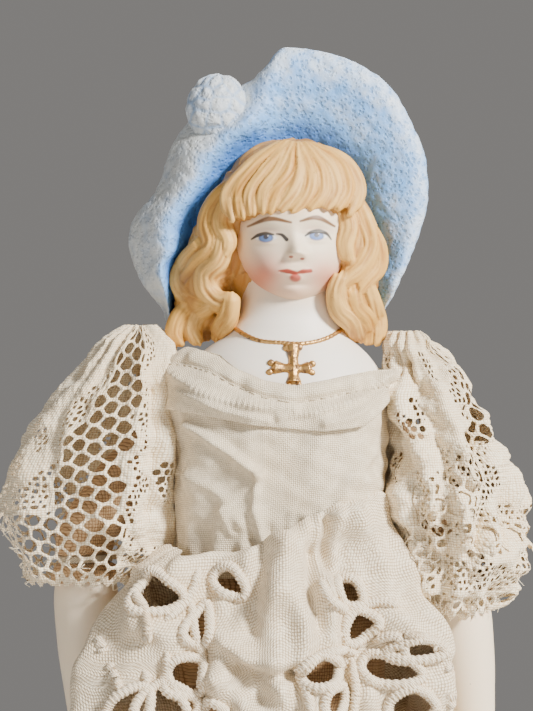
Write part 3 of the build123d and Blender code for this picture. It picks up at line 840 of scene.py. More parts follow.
def neck_and_plate():
    """The neck and the shoulder plate, hollow underneath."""
    outside_rows, inside_rows, columns = 120, 60, 220
    outside = level_ovals(PLATE_OUTSIDE, outside_rows, columns)
    inside = level_ovals(PLATE_INSIDE, inside_rows, columns)
    x, z = outside[..., 0], outside[..., 2]
    front = step_between(0, -4, outside[..., 1])
    outside[..., 1] += front * 0.35 * spot(x, z, (2.2, 190.2), (1.6, 1.4))
    outside[..., 1] -= front * 0.35 * (spot(x, z, (-5, 184.5), (5, 3)) + spot(x, z, (6, 184.5), (5, 3)))
    outside[..., 0] += 0.5 * step_between(190, 200, z)
    points = np.concatenate([outside, inside]).reshape(-1, 3)
    rows = outside_rows + inside_rows
    rim = grid_faces(2, columns, True)  # joins the inside's last row to the outside's first
    rim = np.where(rim >= columns, rim - columns, rim + (rows - 1) * columns)
    paint = np.tile(linear(240, 232, 220), (len(points), 1))
    # Painted shade: the neck turns tan towards and under the chin.
    paint = lay(paint, (222, 190, 152), 0.55 * step_between(195.5, 199.5, points[:, 2]))
    return points, [grid_faces(rows, columns, True), rim], paint


def shown_head():
    """The bisque of the face, neck and plate as one piece."""
    *front, front_paint = face()
    *plate, plate_paint = neck_and_plate()
    paint = np.concatenate([front_paint, plate_paint])
    piece = make_mesh("head_bisque", *joined([front, plate]), paint=paint)
    finish_piece(piece, "torso", COMPLEXION, replaces=["shoulder_head"])


# ---- Hair --------------------------------------------------------------------
# Each lock's path seen from the front, from its root.
FRINGE = [
    [(0.2, 223.4), (-5.1, 219.4), (-8.3, 215.0), (-7.6, 211.2)],
    [(1.0, 223.6), (-3.8, 219.4), (-6.5, 215.0), (-6.0, 211.6)],
    [(1.5, 223.6), (-2.2, 218.8), (-4.6, 215.1), (-4.5, 212.1)],
    [(2.0, 223.4), (-0.1, 219.0), (-2.6, 215.5), (-2.9, 212.4)],
    [(2.5, 223.4), (1.8, 218.8), (-0.6, 215.4), (-1.8, 212.4)],
    [(2.8, 223.4), (3.1, 218.6), (1.9, 215.4), (-0.1, 212.7)],
    [(3.2, 223.4), (4.7, 218.6), (4.2, 215.4), (1.8, 212.6)],
    [(3.6, 223.4), (6.5, 218.6), (6.6, 215.8), (4.6, 213.1)],
    [(4.0, 223.4), (8.1, 218.9), (8.6, 216.0), (7.2, 213.0)],
    [(4.4, 223.4), (9.7, 219.4), (10.6, 216.0), (9.2, 213.0)],
    [(4.9, 223.1), (10.8, 219.9), (12.4, 216.0), (11.0, 212.2)],
]
SIDE_LOCKS = [
    [(-4.9, 217.3), (-8.1, 214.1), (-9.4, 210.9), (-8.3, 207.7), (-9.1, 205.3)],
    [(-5.9, 218.1), (-10.2, 214.6), (-11.8, 210.9), (-11.0, 207.7), (-13.9, 204.5), (-15.5, 201.9),
     (-14.2, 198.7)],
    [(-9.1, 208.3), (-9.9, 204.8), (-11.8, 202.7), (-11.8, 200.6), (-9.7, 198.8), (-7.8, 199.5)],
    [(-12.8, 207.7), (-15.5, 204.5), (-16.3, 201.9), (-14.7, 199.2), (-12.0, 198.2), (-8.9, 197.6)],
    [(-7.8, 199.2), (-8.3, 196.1), (-9.7, 193.4), (-10.2, 191.5)],
    [(-11.0, 198.2), (-13.4, 196.1), (-14.2, 193.9), (-13.1, 191.5)],
    [(-14.4, 198.2), (-16.6, 195.3), (-17.1, 192.9), (-16.0, 191.3)],
    [(10.5, 212.5), (11.0, 210.1), (10.5, 207.2), (11.0, 204.8)],
    [(12.1, 214.6), (13.7, 210.9), (14.5, 207.2), (12.9, 204.0), (10.5, 201.9), (8.9, 199.8)],
    [(13.4, 211.4), (15.5, 207.2), (15.5, 204.0), (13.4, 201.4), (11.3, 199.2)],
    [(9.7, 202.4), (8.9, 199.8), (9.4, 197.4), (11.6, 194.7), (12.6, 192.1)],
    [(11.8, 200.3), (12.4, 197.9), (14.2, 195.3), (14.5, 191.5)],
    [(13.7, 201.4), (15.0, 198.2), (15.8, 195.0), (15.8, 191.5)],
]
LOCK_POINTS = 44
NAPE_LOCKS = 9
NAPE_SPREAD = 13.0
# Down the nape: how far it spreads, its y, how much it turns in at the sides, and its height.
NAPE = [(0.8, 10.5, 0, 203), (0.95, 10.6, 0.2, 198.5), (1, 9, 0.3, 195), (0.97, 8.4, 0.3, 192.4)]
# How far the fringe and the side locks stand forward, and how thick they are.
LOCK_GROUPS = ((FRINGE, 2.0, 1.6), (SIDE_LOCKS, -0.4, 1.85))
# The masses that the locks are moulded on: x, z and radius down each side and across the fringe.
SIDE_MASSES = (
    [(-5.4, 217.6, 3.7), (-8.9, 211.8, 3.8), (-11.4, 205.4, 4.4), (-12.6, 200.2, 4.8), (-12.4, 194.4, 4.5)],
    [(8.6, 217.4, 3.2), (11.2, 211.4, 3.1), (12.0, 205.6, 3.5), (12.4, 200.0, 3.7), (12.6, 194.2, 3.5)],
    [(-7.0, 212.9, 1.8), (-3.4, 213.7, 2.1), (0.8, 214.1, 2.4), (4.6, 214.7, 2.5), (9.4, 214.3, 2.3)],
)
MASS_LIFTS = (-0.6, -0.6, 1.3)
# Balls of hair under the locks: middle, radii, rows and columns.
HAIR_BALLS = (
    ((1.3, 2.4, 209.5), (13.0, 8.2, 14.6), 48, 64),
    ((2.0, 0.2, 217.7), (10.6, 9.4, 7.3), 48, 64),
    ((0.8, 6.6, 200.0), (12.0, 4.4, 8.4), 32, 48),
)


def hair_surface(x, z, lift):
    """The y of the front of the hair, for a lock that stands lift forward."""
    inside = 1 - ((x - 1.6) / 17.5) ** 2 - ((z - 207.5) / 18.5) ** 2
    return 1.0 - (10.0 + lift) * np.sqrt(np.maximum(inside, 0.02))


def lock_paths():
    """Each lock as points in space with a radius at each."""
    locks = []
    along = np.linspace(0, 1, LOCK_POINTS)
    for group, lift, thick in LOCK_GROUPS:
        for path in group:
            flat = through(path, LOCK_POINTS)
            y = hair_surface(flat[:, 0], flat[:, 1], lift)
            radius = thick * (0.5 + 0.5 * np.sin(pi * np.clip(along * 0.9 + 0.12, 0, 1)) ** 0.7)
            radius[-6:] *= np.linspace(1, 0.75, 6)
            locks.append((np.column_stack([flat[:, 0], y + 0.45 * radius, flat[:, 1]]), radius))
    for lock in range(NAPE_LOCKS):
        x = NAPE_SPREAD * (2 * lock / (NAPE_LOCKS - 1) - 1)
        path = [(0.6 + spread * x, y - abs(x) * turn_in, z) for spread, y, turn_in, z in NAPE]
        locks.append((through(path, LOCK_POINTS), np.linspace(2.1, 0.9, LOCK_POINTS)))
    return locks


def shown_hair():
    """Moulded locks on a mass of hair, with combed grooves that run along them."""
    locks = lock_paths()
    shapes = [tube(path, radius, 12) for path, radius in locks]
    shapes.extend(ellipsoid(*ball) for ball in HAIR_BALLS)
    for mass, lift in zip(SIDE_MASSES, MASS_LIFTS):
        x, z, radius = through(mass, 40).T
        y = hair_surface(x, z, lift) + radius
        shapes.extend(tube(np.column_stack([x, y + back, z]), radius, 24) for back in (0, 4))
    points, faces = fused(shapes, 0.24, 7)
    samples = np.concatenate([path for path, _ in locks])
    ways = unit(np.concatenate([np.gradient(path, axis=0) for path, _ in locks]))
    lengths = np.concatenate([np.linspace(0, length_of(path), LOCK_POINTS) for path, _ in locks])
    radii = np.concatenate([radius for _, radius in locks])
    parts = np.array_split(points, 60)
    nearest = np.concatenate([(((part[:, None] - samples[None]) ** 2).sum(axis=2) - radii**2).argmin(axis=1)
                              for part in parts])
    owner = nearest // LOCK_POINTS
    normals = normals_of(points, faces)
    offset = points - samples[nearest]
    side = unit(np.cross(ways[nearest], [0, -1.0, 0.15]))
    across = (offset * side).sum(axis=1)
    along = lengths[nearest] + (offset * ways[nearest]).sum(axis=1)
    combed = rumple(np.column_stack([across * 2.0, along * 0.16, owner * 3.7]), 0.8, 4, 16)
    points = points + normals * (0.12 * combed)[:, None]
    depth = np.linalg.norm(offset, axis=1) - radii[nearest]
    valley = step_between(-0.35, 0.5, depth)
    tint = 0.5 + 0.5 * np.cos(owner * 2.4)
    paint = np.tile(linear(224, 173, 84), (len(points), 1))
    paint = lay(paint, (236, 197, 122), 0.5 * tint)
    # Painted shade: darker in the combed grooves and in the valleys between the locks.
    paint = lay(paint, (176, 118, 46), 0.66 * step_between(0.0, 1.6, -combed))
    paint = lay(paint, (144, 90, 34), 0.65 * valley)
    uv = np.column_stack([along, across + owner * 3.1])
    piece = make_mesh("moulded_hair", points, faces, uv=uv, paint=paint)
    finish_piece(piece, "torso", HAIR, replaces=["shoulder_head"])


# ---- Hat ---------------------------------------------------------------------
# The hat's middle, its rim and the edge of the hair in it, as (x, z) seen from the front.
HAT_MIDDLE = np.array([0.5, 214.0])
HAT_RIM = [(-19.1, 197.1), (-22.6, 202.0), (-24.9, 208.2), (-24.0, 212.2), (-20.6, 216.4), (-18.9, 220.0),
           (-17.8, 224.0), (-15.4, 227.6), (-12.0, 231.0), (-8.0, 233.2), (-4.2, 235.2), (-2.0, 237.4),
           (0.0, 239.6), (4.0, 239.8), (9.2, 238.8), (15.0, 236.0), (19.8, 230.6), (23.0, 223.9),
           (23.9, 217.7), (23.0, 211.0), (20.6, 203.7), (16.4, 196.4), (8.0, 195.4), (0.0, 196.4),
           (-9.0, 195.4), (-14.5, 193.6), (-18.0, 193.4)]
HAIR_EDGE = [(-17.0, 196.5), (-17.0, 201.8), (-16.0, 205.6), (-13.2, 208.6), (-11.3, 213.5), (-6.2, 219.0),
             (-0.2, 223.8), (2.8, 224.8), (7.4, 223.5), (12.1, 219.0), (12.8, 214.7), (14.7, 210.9),
             (15.8, 207.1), (14.8, 201.8), (15.6, 197.3), (8.0, 199.0), (0.0, 200.0), (-10.0, 199.0)]
ROSETTE = np.array([-10.2, 0.6, 229.9])
# How far out from the hair (0) to the rim (1), and the y there on the doll's left and on its right.
BRIM = [(-0.5, 5.0, 5.0), (-0.2, 3.4, 3.2), (0.0, 2.2, 1.9), (0.2, 0.4, 0.0), (0.38, -0.7, -2.9),
        (0.5, -1.2, -3.7), (0.64, -1.7, -2.9), (0.8, -2.0, -1.0), (0.92, -1.7, 0.9), (0.98, -1.0, 2.0),
        (1.0, 0.2, 3.2)]
# Behind the rim: the share of the rim's size, and the y likewise.
CROWN = [(0.96, 2.6, 4.6), (0.90, 5.2, 6.6), (0.82, 8.2, 9.0), (0.71, 11.2, 11.6), (0.56, 13.4, 13.5),
         (0.36, 14.8, 14.8), (0.16, 15.3, 15.3), (0.02, 15.4, 15.4)]


def shown_hat():
    """A turned-up hat: a brim round the hair, pulled forward in a fold on the doll's right, and a crown."""
    columns, brim_rows, crown_rows = 560, 90, 60
    rim = through(HAT_RIM, columns, closed=True)
    out = rim - HAT_MIDDLE
    angle = np.arctan2(out[:, 1], out[:, 0])
    size = np.hypot(*out.T)
    hair = through(HAIR_EDGE, 400, closed=True) - HAT_MIDDLE
    hair_angle = np.arctan2(hair[:, 1], hair[:, 0])
    order = np.argsort(hair_angle)
    hair_size = np.interp(angle, hair_angle[order], np.hypot(*hair.T)[order], period=2 * pi)
    # the fold is on the doll's right
    round_up = np.where(angle < -pi / 2, angle + 2 * pi, angle)
    folded = step_between(radians(92), radians(118), round_up)
    bottom = step_between(203.0, 197.0, rim[:, 1]) * step_between(21.5, 15.0, abs(rim[:, 0] + 1.2))
    place, plain_y, fold_y = spread(BRIM, brim_rows).T
    share = hair_size + place[:, None] * (size - hair_size)
    y = plain_y[:, None] + (fold_y - plain_y)[:, None] * folded
    y += 1.5 * folded * spot(place[:, None], round_up, (0.72, radians(122)), (0.16, 0.3))
    y += 6.5 * bottom
    back_share, back_plain, back_fold = spread(CROWN, crown_rows).T
    back_y = back_plain[:, None] + (back_fold - back_plain)[:, None] * folded
    back_y += 3.0 * bottom * step_between(0.7, 1, back_share)[:, None]
    share = np.concatenate([share, back_share[:, None] * size])
    y = np.concatenate([y, back_y])
    x = HAT_MIDDLE[0] + share * out[:, 0] / size
    z = HAT_MIDDLE[1] + share * out[:, 1] / size
    rows = brim_rows + crown_rows
    points = np.stack([x, y, z], axis=-1).reshape(-1, 3)
    faces = [grid_faces(rows, columns, True)]
    normals = normals_of(points, faces)
    pits = rumple(points, 1.0, 31, 30)
    points = points + normals * (0.07 * pits + 0.22 * rumple(points, 6.5, 33))[:, None]
    middle = points[-columns:].mean(axis=0)
    faces.append(fan(np.arange(columns) + (rows - 1) * columns, len(points), True))
    points = np.vstack([points, middle])
    place = np.append(np.repeat(np.concatenate([place, np.full(crown_rows, 2.0)]), columns), 2.0)
    is_folded = np.append(np.tile(folded, rows), 0)
    front = place < 1.01
    near = step_between(0.42, -0.05, place)
    pale = 0.50 - 0.34 * step_between(0.6, 1.0, place)
    fold_blue = 1.1 * step_between(0.66, 0.36, place)
    blue = front * ((1 - is_folded) * (pale + 0.75 * near) + is_folded * fold_blue) + ~front * 0.22
    deep = front * (1.15 * step_between(0.42 + 0.12 * is_folded, 0.02 + 0.2 * is_folded, place) - 0.15)
    # Painted shade: the fold's outer part, white where its blue stops, is greyed as the side turned from the
    # light.
    grey = front * is_folded * step_between(0.3, 0.85, place)
    paint = np.column_stack([np.clip(blue, 0, 2), np.clip(deep, 0, 2), grey])
    *knob, knob_paint = rosette()
    paint = np.concatenate([paint, knob_paint])
    piece = make_mesh("stippled_hat", *joined([(points, faces), knob]), paint=paint)
    finish_piece(piece, "torso", HAT, replaces=["shoulder_head"])


def rosette():
    """The pompom on the brim: a low knobbly dome, its lumps in rings round a middle one."""
    points, faces = ellipsoid(ROSETTE, (5.2, 4.2, 5.7), 90, 130)
    way = (points - ROSETTE) / 5
    walls = cell_walls(np.arctan2(way[:, 0], -way[:, 1]) * 3.2, way[:, 2] * 4.6, 2.3, 2.1, 0.8, 8)
    points = points + way * (0.24 * step_between(0, 0.9, walls) - 0.2)[:, None]
    points += way * (0.08 * rumple(points, 0.9, 41, 20))[:, None]
    blue = 0.04 + 0.42 * step_between(0.4, 0.0, walls)
    # Painted shade: the whole rosette is greyed, like the fold's outer part.
    return points, faces, np.column_stack([blue, 0 * blue, 0 * blue + 0.8])


# ---- Gilding -----------------------------------------------------------------
NECKLACE = [(-8.0, 194.6), (-6.1, 193.3), (-3.8, 192.2), (0.4, 191.7), (3.9, 191.6), (7.8, 192.6),
            (10.0, 193.9)]
# Each arm of the cross: its path from the front, and its radius at the start, the middle and the end.
CROSS_ARMS = [
    ([(2.1, 191.0), (2.1, 189.3), (2.1, 187.4)], [1.25, 0.8, 0.95]),
    ([(2.1, 187.4), (2.1, 186.2), (2.1, 185.4)], [0.95, 0.95, 1.35]),
    ([(2.1, 187.5), (0.6, 187.6), (-0.8, 187.7)], [0.95, 0.85, 1.3]),
    ([(2.1, 187.5), (3.5, 187.5), (4.5, 187.6)], [0.95, 0.85, 1.2]),
]
CROSS_KNOBS = [(1.0, 190.9), (3.0, 191.0), (-1.5, 188.5), (-1.7, 187.0), (5.1, 188.3), (5.0, 186.9),
               (1.2, 184.7), (3.0, 184.8)]


def on_chest(x, z, lift=0.0):
    """The point of the neck and plate's front at (x, z), standing lift forward."""
    ovals = np.array(PLATE_OUTSIDE, float)
    height, wide, deep, back, middle = curve(ovals[:, 0], ovals, np.asarray(z, float)).T
    across = np.clip((x - middle) / wide, -0.98, 0.98)
    y = back - (deep + lift) * np.sqrt(1 - across**2)
    return np.stack([np.asarray(x, float), y, np.asarray(z, float)], axis=-1)


def shown_gilding():
    """The moulded necklace and cross, in worn gold."""
    string = through(NECKLACE, 90)
    bumps = 1 + 0.10 * np.cos(np.arange(90) * 1.9)
    shapes = [tube(on_chest(string[:, 0], string[:, 1], -0.05), 0.4 * bumps, 10)]
    shapes.append(ellipsoid(on_chest(9.9, 193.9, 0.2), (0.72, 0.7, 0.72), 32, 48))
    for path, radius in CROSS_ARMS:
        flat = through(path, 20)
        radii = np.interp(np.linspace(0, 1, 20), [0, 0.5, 1], radius)
        shapes.append(tube(on_chest(flat[:, 0], flat[:, 1], -0.25), radii, 10))
    for x, z in CROSS_KNOBS:
        shapes.append(ellipsoid(on_chest(x, z, 0.05), (0.62, 0.45, 0.62), 10, 14))
    piece = make_mesh("gilt_necklace", *fused(shapes, 0.09, 3))
    finish_piece(piece, "torso", GOLD, replaces=["shoulder_head"])


shown_head()
shown_hair()
shown_hat()
shown_gilding()


# ---- Limbs -------------------------------------------------------------------
def lofted(rings):
    """A closed skin through rings of points, with its two ends fanned shut."""
    return closed_skin(rings, [rings[0].mean(axis=0), rings[-1].mean(axis=0)])


def limb_rings(spine, ovals, rows, columns):
    """Rings along a limb: spine gives the place, the way across and the way down at a distance along it."""
    distances, wide, deep = spread(ovals, rows).T
    turn = np.arange(columns) / columns * 2 * pi
    rings = []
    for distance, a, b in zip(distances, wide, deep):
        place, across = spine(distance)
        rings.append(place + np.outer(np.cos(turn) * a, across) + np.outer(np.sin(turn) * b, [0, -1, 0]))
    return np.array(rings)


def leaning(angle):
    """The ways down and across a limb that leans towards +X."""
    return np.array([sin(angle), 0, -cos(angle)]), np.array([cos(angle), 0, sin(angle)])


def stuffed_limb(name, body, spine, ovals, depth, waves, nodes):
    """A stuffed limb whose cloth ends in a frill beyond its binding."""
    rows, columns, frill_rows = 110, 72, 12
    rings = limb_rings(spine, ovals, rows, columns)
    rise, turn = np.linspace(0, depth, frill_rows), np.arange(columns) / columns * 2 * pi
    frill = np.concatenate([np.zeros(rows - 2 * frill_rows), rise, rise[::-1]])
    middle = rings.mean(axis=1, keepdims=True)
    ripple = frill[:, None, None] * depth * np.cos(turn * waves)[None, :, None]
    rings = middle + (rings - middle) * (1 + ripple)
    padded_piece(name, body, rings, nodes)


def padded_piece(name, body, rings, nodes):
    """A stuffed muslin piece, softly lumped, in place of its CAD cover and stuffing."""
    points, faces = lofted(rings)
    points = points + normals_of(points, faces) * (0.16 * rumple(points, 3.5, len(name)))[:, None]
    piece = make_mesh(name, points, faces)
    finish_piece(piece, body, MUSLIN, replaces=nodes)


def wound_thread(name, body, middle, ways, radius, height, node):
    """Thread wound round a gathered cuff; ways are the ways down and across the limb."""
    down, across = ways
    turns, count = 5, 220
    angle = np.linspace(0, turns * 2 * pi, count)
    forward = np.cross(down, across)
    rise = np.linspace(-height / 2, height / 2, count)
    path = middle + np.outer(np.cos(angle) * radius, across) + np.outer(np.sin(angle) * radius, forward)
    path = path + np.outer(rise, down)
    piece = make_mesh(name, *tube(path, 0.24, 6))
    finish_piece(piece, body, THREAD, replaces=[node])


UPPER_ARM_LENGTH = 24.0
# Rings of each limb: how far along it, half width and half depth; the cloth turns in at its frilled end.
UPPER_ARM = [(1.5, 1.0, 2.2), (3.5, 1.9, 2.7), (6, 2.9, 3.2), (12, 3.9, 3.9), (18, 4.5, 4.5),
             (22, 4.8, 4.8), (24, 4.9, 4.9), (26.2, 4.7, 4.7), (27.3, 4.0, 4.0), (28.2, 4.0, 4.0),
             (29.2, 5.2, 5.2), (31.2, 5.6, 5.6), (31.1, 5.1, 5.1), (29, 4.6, 4.6)]
FOREARM = [(0.2, 3.9, 3.9), (1.2, 4.0, 4.0), (1.5, 3.3, 3.3), (4.2, 3.3, 3.3), (4.8, 4.5, 4.5),
           (8, 5.2, 5.2), (11, 5.3, 5.3), (15, 5.1, 5.1), (19, 4.8, 4.8), (23, 4.3, 4.3), (27, 3.8, 3.8),
           (31, 3.1, 3.2), (34, 2.5, 2.8), (36.5, 2.1, 3.2), (39, 1.8, 3.4), (40.6, 1.3, 2.9)]
FINGERS = [(-2.5, 43.6), (-0.9, 44.8), (0.8, 44.9), (2.3, 44.0)]  # how far forward, and where it ends
THUMB = [(33, 1.6, 0), (36, 3.2, 0.25), (38.5, 4.0, 0.5), (40.4, 4.1, 0.75)]
SEAM_X = 18.9  # where each arm's cloth starts


def shown_arm(side):
    """A stuffed upper arm, its bound cuff, and a bisque forearm with a modelled hand."""
    shoulder = SHOULDERS[side].copy()
    away = 1 if side == "left" else -1
    shoulder[0] = away * SEAM_X
    upper_down, upper_across = leaning(away * UPPER_LEAN[side])
    fore_down, fore_across = leaning(away * FOREARM_LEAN[side])
    binding = middle_of(f"arm_binding_{side}")
    wrist_start = binding - fore_down * 2.8
    elbow = shoulder + upper_down * UPPER_ARM_LENGTH

    def spine(distance):
        """The place and the way across at a distance down the arm."""
        bend = step_between(UPPER_ARM_LENGTH - 4, UPPER_ARM_LENGTH + 2, distance)
        place = shoulder + upper_down * distance
        if distance > UPPER_ARM_LENGTH:
            place = elbow + fore_down * (distance - UPPER_ARM_LENGTH)
        return place, upper_across * (1 - bend) + fore_across * bend

    body = f"arm_{side}"
    covered = [f"upper_arm_cover_{side}", f"upper_arm_stuffing_{side}"]
    stuffed_limb(f"upper_arm_{side}", body, spine, UPPER_ARM, 0.35, 14, covered)
    ways = (fore_down, fore_across)
    wound_thread(f"cuff_thread_{side}", body, binding, ways, 4.25, 0.9, f"arm_binding_{side}")

    def finger(stops, thick, thin):
        """A finger through stops, each its distance down the arm, how far forward, and how far curled in."""
        path = [wrist_start + fore_down * down + np.array([0, -forward, 0]) + fore_across * (-away * curl)
                for down, forward, curl in stops]
        return tube(through(path, 24), np.linspace(thick, thin, 24), 10)

    shapes = [lofted(limb_rings(lambda d: (wrist_start + fore_down * d, fore_across), FOREARM, 120, 56))]
    for forward, end in FINGERS:
        stops = ((36, 0.8, 0), (39.5, 0.95, 0.1), (42, 1.0, 0.35), (end, 0.98, 0.8))
        shapes.append(finger([(down, forward * share, curl) for down, share, curl in stops], 0.95, 0.68))
    shapes.append(finger(THUMB, 1.25, 0.72))
    piece = make_mesh(f"bisque_arm_{side}", *fused(shapes, 0.2, 3))
    finish_piece(piece, body, BISQUE, replaces=[f"forearm_{side}"])


# Rings of the thigh, then level ovals of the leg and boot: height, half width, half depth and middle's y.
THIGH = [(1.2, 6.6, 1.0), (4, 7.0, 2.4), (8, 7.3, 4), (17, 7.5, 6.5), (30, 6.7, 6.4), (42, 6.2, 6.2),
         (52, 5.9, 5.9), (55.4, 5.8, 5.8), (56.9, 5.6, 5.6), (58, 4.9, 4.9), (59.2, 4.9, 4.9),
         (60.3, 6.3, 6.3), (62.4, 6.7, 6.7), (62.3, 6.1, 6.1), (60, 5.6, 5.6)]
LEG = [(60.5, 5.1, 5.1, 0), (60, 5.2, 5.2, 0), (50, 5.3, 5.6, 0.4), (38, 5.4, 5.9, 0.7),
       (30, 4.8, 5.3, 0.6), (22, 4.1, 4.6, 0.4), (17.4, 3.7, 4.3, 0.3), (16.6, 3.75, 4.35, 0.3),
       (16.0, 4.0, 4.6, 0.3), (12, 3.8, 5.0, 0.0), (9, 3.9, 6.2, -0.8), (6, 4.0, 8.1, -1.6),
       (3.6, 4.2, 9.6, -2.3), (2.0, 4.2, 10.1, -2.6), (1.5, 4.3, 10.1, -2.6), (1.2, 4.0, 9.8, -2.6),
       (0.3, 3.9, 9.8, -2.6), (0.0, 3.8, 9.7, -2.6)]
LACES = ((9.6, -7.6), (11.6, -6.2), (13.6, -5.4))  # the height and the y of each crossing of the boot's laces
BOOT_TOP = 16.9
GARTER = 47.5  # the height of the painted blue garter


def shown_leg(side):
    """A stuffed thigh, its bound cuff, and a bisque lower leg in a painted boot."""
    middle_x = middle_of(f"lower_leg_{side}")[0]
    hip = np.array([middle_x, 0, top_of(f"thigh_cover_{side}") + 1.3])
    down, across = leaning(0)
    body = f"leg_{side}"
    covered = [f"thigh_cover_{side}", f"thigh_stuffing_{side}"]
    stuffed_limb(f"thigh_{side}", body, lambda d: (hip + down * d, across), THIGH, 0.3, 16, covered)
    binding = middle_of(f"leg_binding_{side}")
    wound_thread(f"knee_thread_{side}", body, binding, (down, across), 5.2, 1.1, f"leg_binding_{side}")

    stack = level_ovals([(*oval, middle_x) for oval in LEG], 150, 80, 2.15)
    shapes = [lofted(stack[::-1])]
    for height, forward in LACES:
        for way in (-1, 1):
            lace = [(middle_x - 1.7 * way, forward + 0.5, height - 0.7), (middle_x, forward - 0.1, height),
                    (middle_x + 1.7 * way, forward + 0.5, height + 0.7)]
            shapes.append(tube(through(lace, 14), 0.26, 6))
    for way in (-1, 1):
        shapes.append(ellipsoid((middle_x + 1.5 * way, -5.0, 15.4), (1.3, 0.7, 0.8), 12, 16))
    shapes.append(ellipsoid((middle_x, -5.3, 15.4), (0.55, 0.6, 0.55), 12, 16))
    points, faces = fused(shapes, 0.26, 2)
    z = points[:, 2]
    paint = np.tile(linear(240, 236, 230), (len(points), 1))
    edge = BOOT_TOP + 0.25 * np.sin(points[:, 0] * 2.5)
    paint = lay(paint, (64, 40, 28), step_between(0.15, -0.15, z - edge))
    paint = lay(paint, (30, 20, 18), step_between(1.7, 1.4, z))
    paint = lay(paint, (120, 160, 206), step_between(0.8, 0.6, abs(z - GARTER)))
    piece = make_mesh(f"bisque_leg_{side}", points, faces, paint=paint)
    finish_piece(piece, body, BOOT, replaces=[f"lower_leg_{side}"])


# Level ovals of the torso: height, half width, half depth and middle's y.
TORSO = [(125.2, 12, 3, 0), (129, 15, 6.5, 0), (136, 17, 10, 0), (144, 16.6, 10.6, 0), (152, 15, 10, 0),
         (160, 13.4, 9.4, 0), (166, 13.5, 9.0, 0), (173, 13.8, 8.6, 0), (178, 13.2, 8.0, 0.3),
         (181, 12.0, 7.2, 0.5), (185, 8, 5.5, 0.5)]


def shown_body():
    """The stuffed torso, and the cloth seams and stitches that the CAD already shapes."""
    rings = level_ovals(TORSO, 90, 120)
    padded_piece("stuffed_torso", "torso", rings, ["torso_cover", "torso_stuffing"])
    for node in ("hip_seam", "shoulder_seam_left", "shoulder_seam_right"):
        dress_node(node, MUSLIN)
    dress_node("shoulder_plate_stitches", THREAD)


# ---- Lace and cloth ----------------------------------------------------------
def oval_surface(ovals, power=2.0):
    """A surface over an angle and a height, through level ovals: see level_ovals for their numbers."""
    ovals = np.array(sorted(ovals), float)

    def place(turn, z):
        """The point at an angle and a height."""
        wide, deep, back, middle = np.moveaxis(curve(ovals[:, 0], ovals[:, 1:], z), -1, 0)
        across, forward = squared(turn, power)
        return np.stack([middle + wide * across, back + deep * forward, z + 0 * turn], axis=-1)

    return place


def turn_at(surface, x, z, front=True):
    """The angle at which a surface is at x, on its front or its back."""
    turns = np.linspace(-pi, 0, 721) if front else np.linspace(0, pi, 721)
    found = surface(turns, np.full(721, float(z)))[:, 0]
    return turns[np.abs(found - x).argmin()]


def corded_edge(surface, path, radius, lift, pitch, sides=6, closed=True):
    """A buttonholed cord on a surface along a path of (angle, height), ribbed by its stitches."""
    path = np.asarray(path, float)
    points = surface(path[:, 0], path[:, 1])
    ahead = surface(path[:, 0] + 0.002, path[:, 1]) - points
    above = surface(path[:, 0], path[:, 1] + 0.05) - points
    out = unit(np.cross(ahead, above))
    length = length_of(points)
    count = max(int(length / pitch * 4), 16)
    along = np.linspace(0, 1, len(points))
    wanted = np.linspace(0, 1, count, endpoint=not closed)
    points = np.stack([np.interp(wanted, along, (points + out * lift)[:, i]) for i in range(3)], axis=1)
    out = np.stack([np.interp(wanted, along, out[:, i]) for i in range(3)], axis=1)
    ribs = 1 + 0.13 * np.cos(np.arange(count) * pi / 2)
    if not closed:
        from_end = np.minimum(np.arange(count), np.arange(count)[::-1]) * length / count
        taper = step_between(-0.6, 1.6, from_end)
        points = points - out * (lift + 0.3 * radius) * (1 - taper)[:, None]
        ribs = ribs * (0.35 + 0.65 * taper)
    return tube(points, radius * ribs, sides, closed=closed, normals=out)


def ring_path(turn, z, across, down, lean, stretch, petal):
    """An oval or drop shape round a place on a surface, as (angle, height)."""
    angle = np.linspace(0, 2 * pi, 48)
    wide = across * np.cos(angle) * (1 - petal * np.sin(angle))
    tall = down * np.sin(angle)
    u = wide * cos(lean) - tall * sin(lean)
    w = wide * sin(lean) + tall * cos(lean)
    return np.column_stack([turn + u / stretch, z + w])


def hole_depth(turn, z, hole, petal):
    """How far outside a hole each place on the cloth is, in millimetres."""
    hole_turn, hole_z, across, down, lean, stretch = hole
    du = wrapped(turn - hole_turn) * stretch
    dw = z - hole_z
    wide = du * cos(lean) + dw * sin(lean)
    tall = -du * sin(lean) + dw * cos(lean)
    tall_share = tall / down
    across_here = across * np.clip(1 - petal * tall_share, 0.25, 2)
    reach = np.hypot(wide / across_here, tall_share)
    return (reach - 1) * min(across, down)


# ---- Bodice ------------------------------------------------------------------
# Level ovals of the bodice: height, half width, half depth, middle's y and x.
BODICE = [(154.0, 16.4, 11.6, 0, -0.4), (158.4, 16.9, 11.8, 0, -0.4), (161, 17.2, 12.0, 0, -0.4),
          (165, 17.6, 12.9, 0, -0.3), (171, 17.8, 14.1, 0, 0), (178, 17.9, 14.2, 0, 0),
          (184, 17.7, 13.3, 0.1, 0), (187.5, 17.2, 12.2, 0.2, 0), (190, 15.8, 10.9, 0.3, 0),
          (193, 13.6, 9.7, 0.5, 0)]
